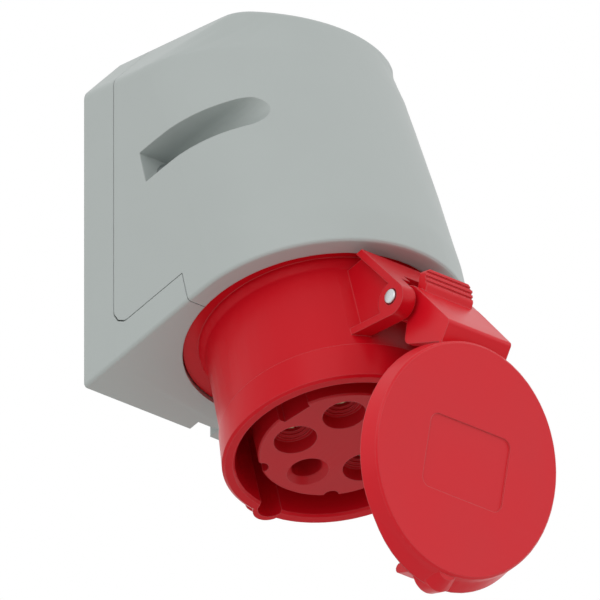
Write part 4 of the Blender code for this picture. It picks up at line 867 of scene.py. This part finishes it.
class WALLSOCKET_OT_stage(bpy.types.Operator):
    """Set up the floor, the soft lamps and the camera"""
    bl_idname = "wall_socket.stage"
    bl_label = "Stage"

    def lamp(self, name, place, power):
        """One soft box that faces the object."""
        data = bpy.data.lights.new(name, "AREA")
        data.shape = "SQUARE"
        data.size = BOX_SIDE
        data.energy = power
        made = bpy.data.objects.new(name, data)
        made.location = place
        made.rotation_euler = (AIM - Vector(place)).to_track_quat("-Z", "Y").to_euler()
        bpy.context.scene.collection.objects.link(made)

    def floor(self, drop):
        """A plain pale floor below the object."""
        work = bmesh.new()
        bmesh.ops.create_grid(work, x_segments=1, y_segments=1, size=4.0)
        mesh = bpy.data.meshes.new("floor")
        work.to_mesh(mesh)
        work.free()
        mesh.transform(Matrix.Translation((0, 0, -drop)))
        made, _, shader = start_material("pale_floor")
        shader.inputs["Base Color"].default_value = linear("#E4E4E2")
        shader.inputs["Roughness"].default_value = 0.8
        floor = new_object("floor", mesh)
        floor.data.materials.append(made)

    def world(self, ambient):
        """Even light on the object, and plain white behind it and in what it reflects."""
        world = bpy.data.worlds.new("studio")
        bpy.context.scene.world = world
        world.use_nodes = True
        tree = world.node_tree
        tree.nodes.clear()
        path = add_node(tree, "ShaderNodeLightPath").outputs
        clear = add_node(tree, "ShaderNodeMath", {0: path["Is Camera Ray"], 1: path["Is Transmission Ray"]},
                         operation="MAXIMUM")
        seen = add_node(tree, "ShaderNodeMath", {0: clear.outputs[0], 1: path["Is Glossy Ray"]},
                        operation="MAXIMUM")
        strength = add_node(tree, "ShaderNodeMapRange", {"Value": seen.outputs[0], "To Min": ambient,
                                                         "To Max": 1.0})
        light = add_node(tree, "ShaderNodeBackground", {"Color": (1.0, 1.0, 1.0, 1.0),
                                                        "Strength": strength.outputs[0]})
        add_node(tree, "ShaderNodeOutputWorld", {"Surface": light.outputs[0]})

    def execute(self, context):
        stage = settings()[2]
        scene = context.scene
        scene.view_settings.view_transform = "Standard"
        level = math.cos(stage.elevation)
        towards = Vector((math.sin(stage.azimuth) * level, -math.cos(stage.azimuth) * level,
                          math.sin(stage.elevation)))
        data = bpy.data.cameras.new("camera")
        data.type = "ORTHO"
        data.ortho_scale = stage.picture_width
        data.clip_start = 0.01
        camera = bpy.data.objects.new("camera", data)
        camera.location = AIM + towards * CAMERA_DISTANCE
        camera.rotation_euler = (-towards).to_track_quat("-Z", "Y").to_euler()
        scene.collection.objects.link(camera)
        scene.camera = camera
        self.floor(stage.floor_drop)
        self.world(stage.ambient)
        self.lamp("left_box", *LEFT_BOX)
        self.lamp("right_box", *RIGHT_BOX)
        return {"FINISHED"}


OPERATORS = (WALLSOCKET_OT_enclosure, WALLSOCKET_OT_housing, WALLSOCKET_OT_insert, WALLSOCKET_OT_contacts,
             WALLSOCKET_OT_screws, WALLSOCKET_OT_hinge, WALLSOCKET_OT_seals, WALLSOCKET_OT_lid,
             WALLSOCKET_OT_stage)


class WALLSOCKET_PT_panel(bpy.types.Panel):
    """Lists the steps that dress the wall socket"""
    bl_idname = "WALLSOCKET_PT_panel"
    bl_label = "Wall socket"
    bl_space_type = "VIEW_3D"
    bl_region_type = "UI"
    bl_category = "Wall socket"

    def draw(self, context):
        column = self.layout.column()
        for operator in OPERATORS:
            column.operator(operator.bl_idname)
        for group in settings():
            for key in group.bl_rna.properties.keys():
                if key not in ("rna_type", "name"):
                    column.prop(group, key)


GROUPS = (("wall_socket_colours", WallSocketColours), ("wall_socket_sizes", WallSocketSizes),
          ("wall_socket_stage", WallSocketStage))


def register():
    """Registers the settings, the steps and the panel."""
    for name, group in GROUPS:
        bpy.utils.register_class(group)
        setattr(bpy.types.Scene, name, bpy.props.PointerProperty(type=group))
    for operator in OPERATORS:
        bpy.utils.register_class(operator)
    bpy.utils.register_class(WALLSOCKET_PT_panel)


def unregister():
    """Takes the panel, the steps and the settings out again."""
    bpy.utils.unregister_class(WALLSOCKET_PT_panel)
    for operator in reversed(OPERATORS):
        bpy.utils.unregister_class(operator)
    for name, group in reversed(GROUPS):
        delattr(bpy.types.Scene, name)
        bpy.utils.unregister_class(group)


def main():
    """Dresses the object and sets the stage."""
    register()
    bpy.ops.wall_socket.enclosure()
    bpy.ops.wall_socket.housing()
    bpy.ops.wall_socket.insert()
    bpy.ops.wall_socket.contacts()
    bpy.ops.wall_socket.screws()
    bpy.ops.wall_socket.hinge()
    bpy.ops.wall_socket.seals()
    bpy.ops.wall_socket.lid()
    bpy.ops.wall_socket.stage()


if __name__ == "__main__":
    main()
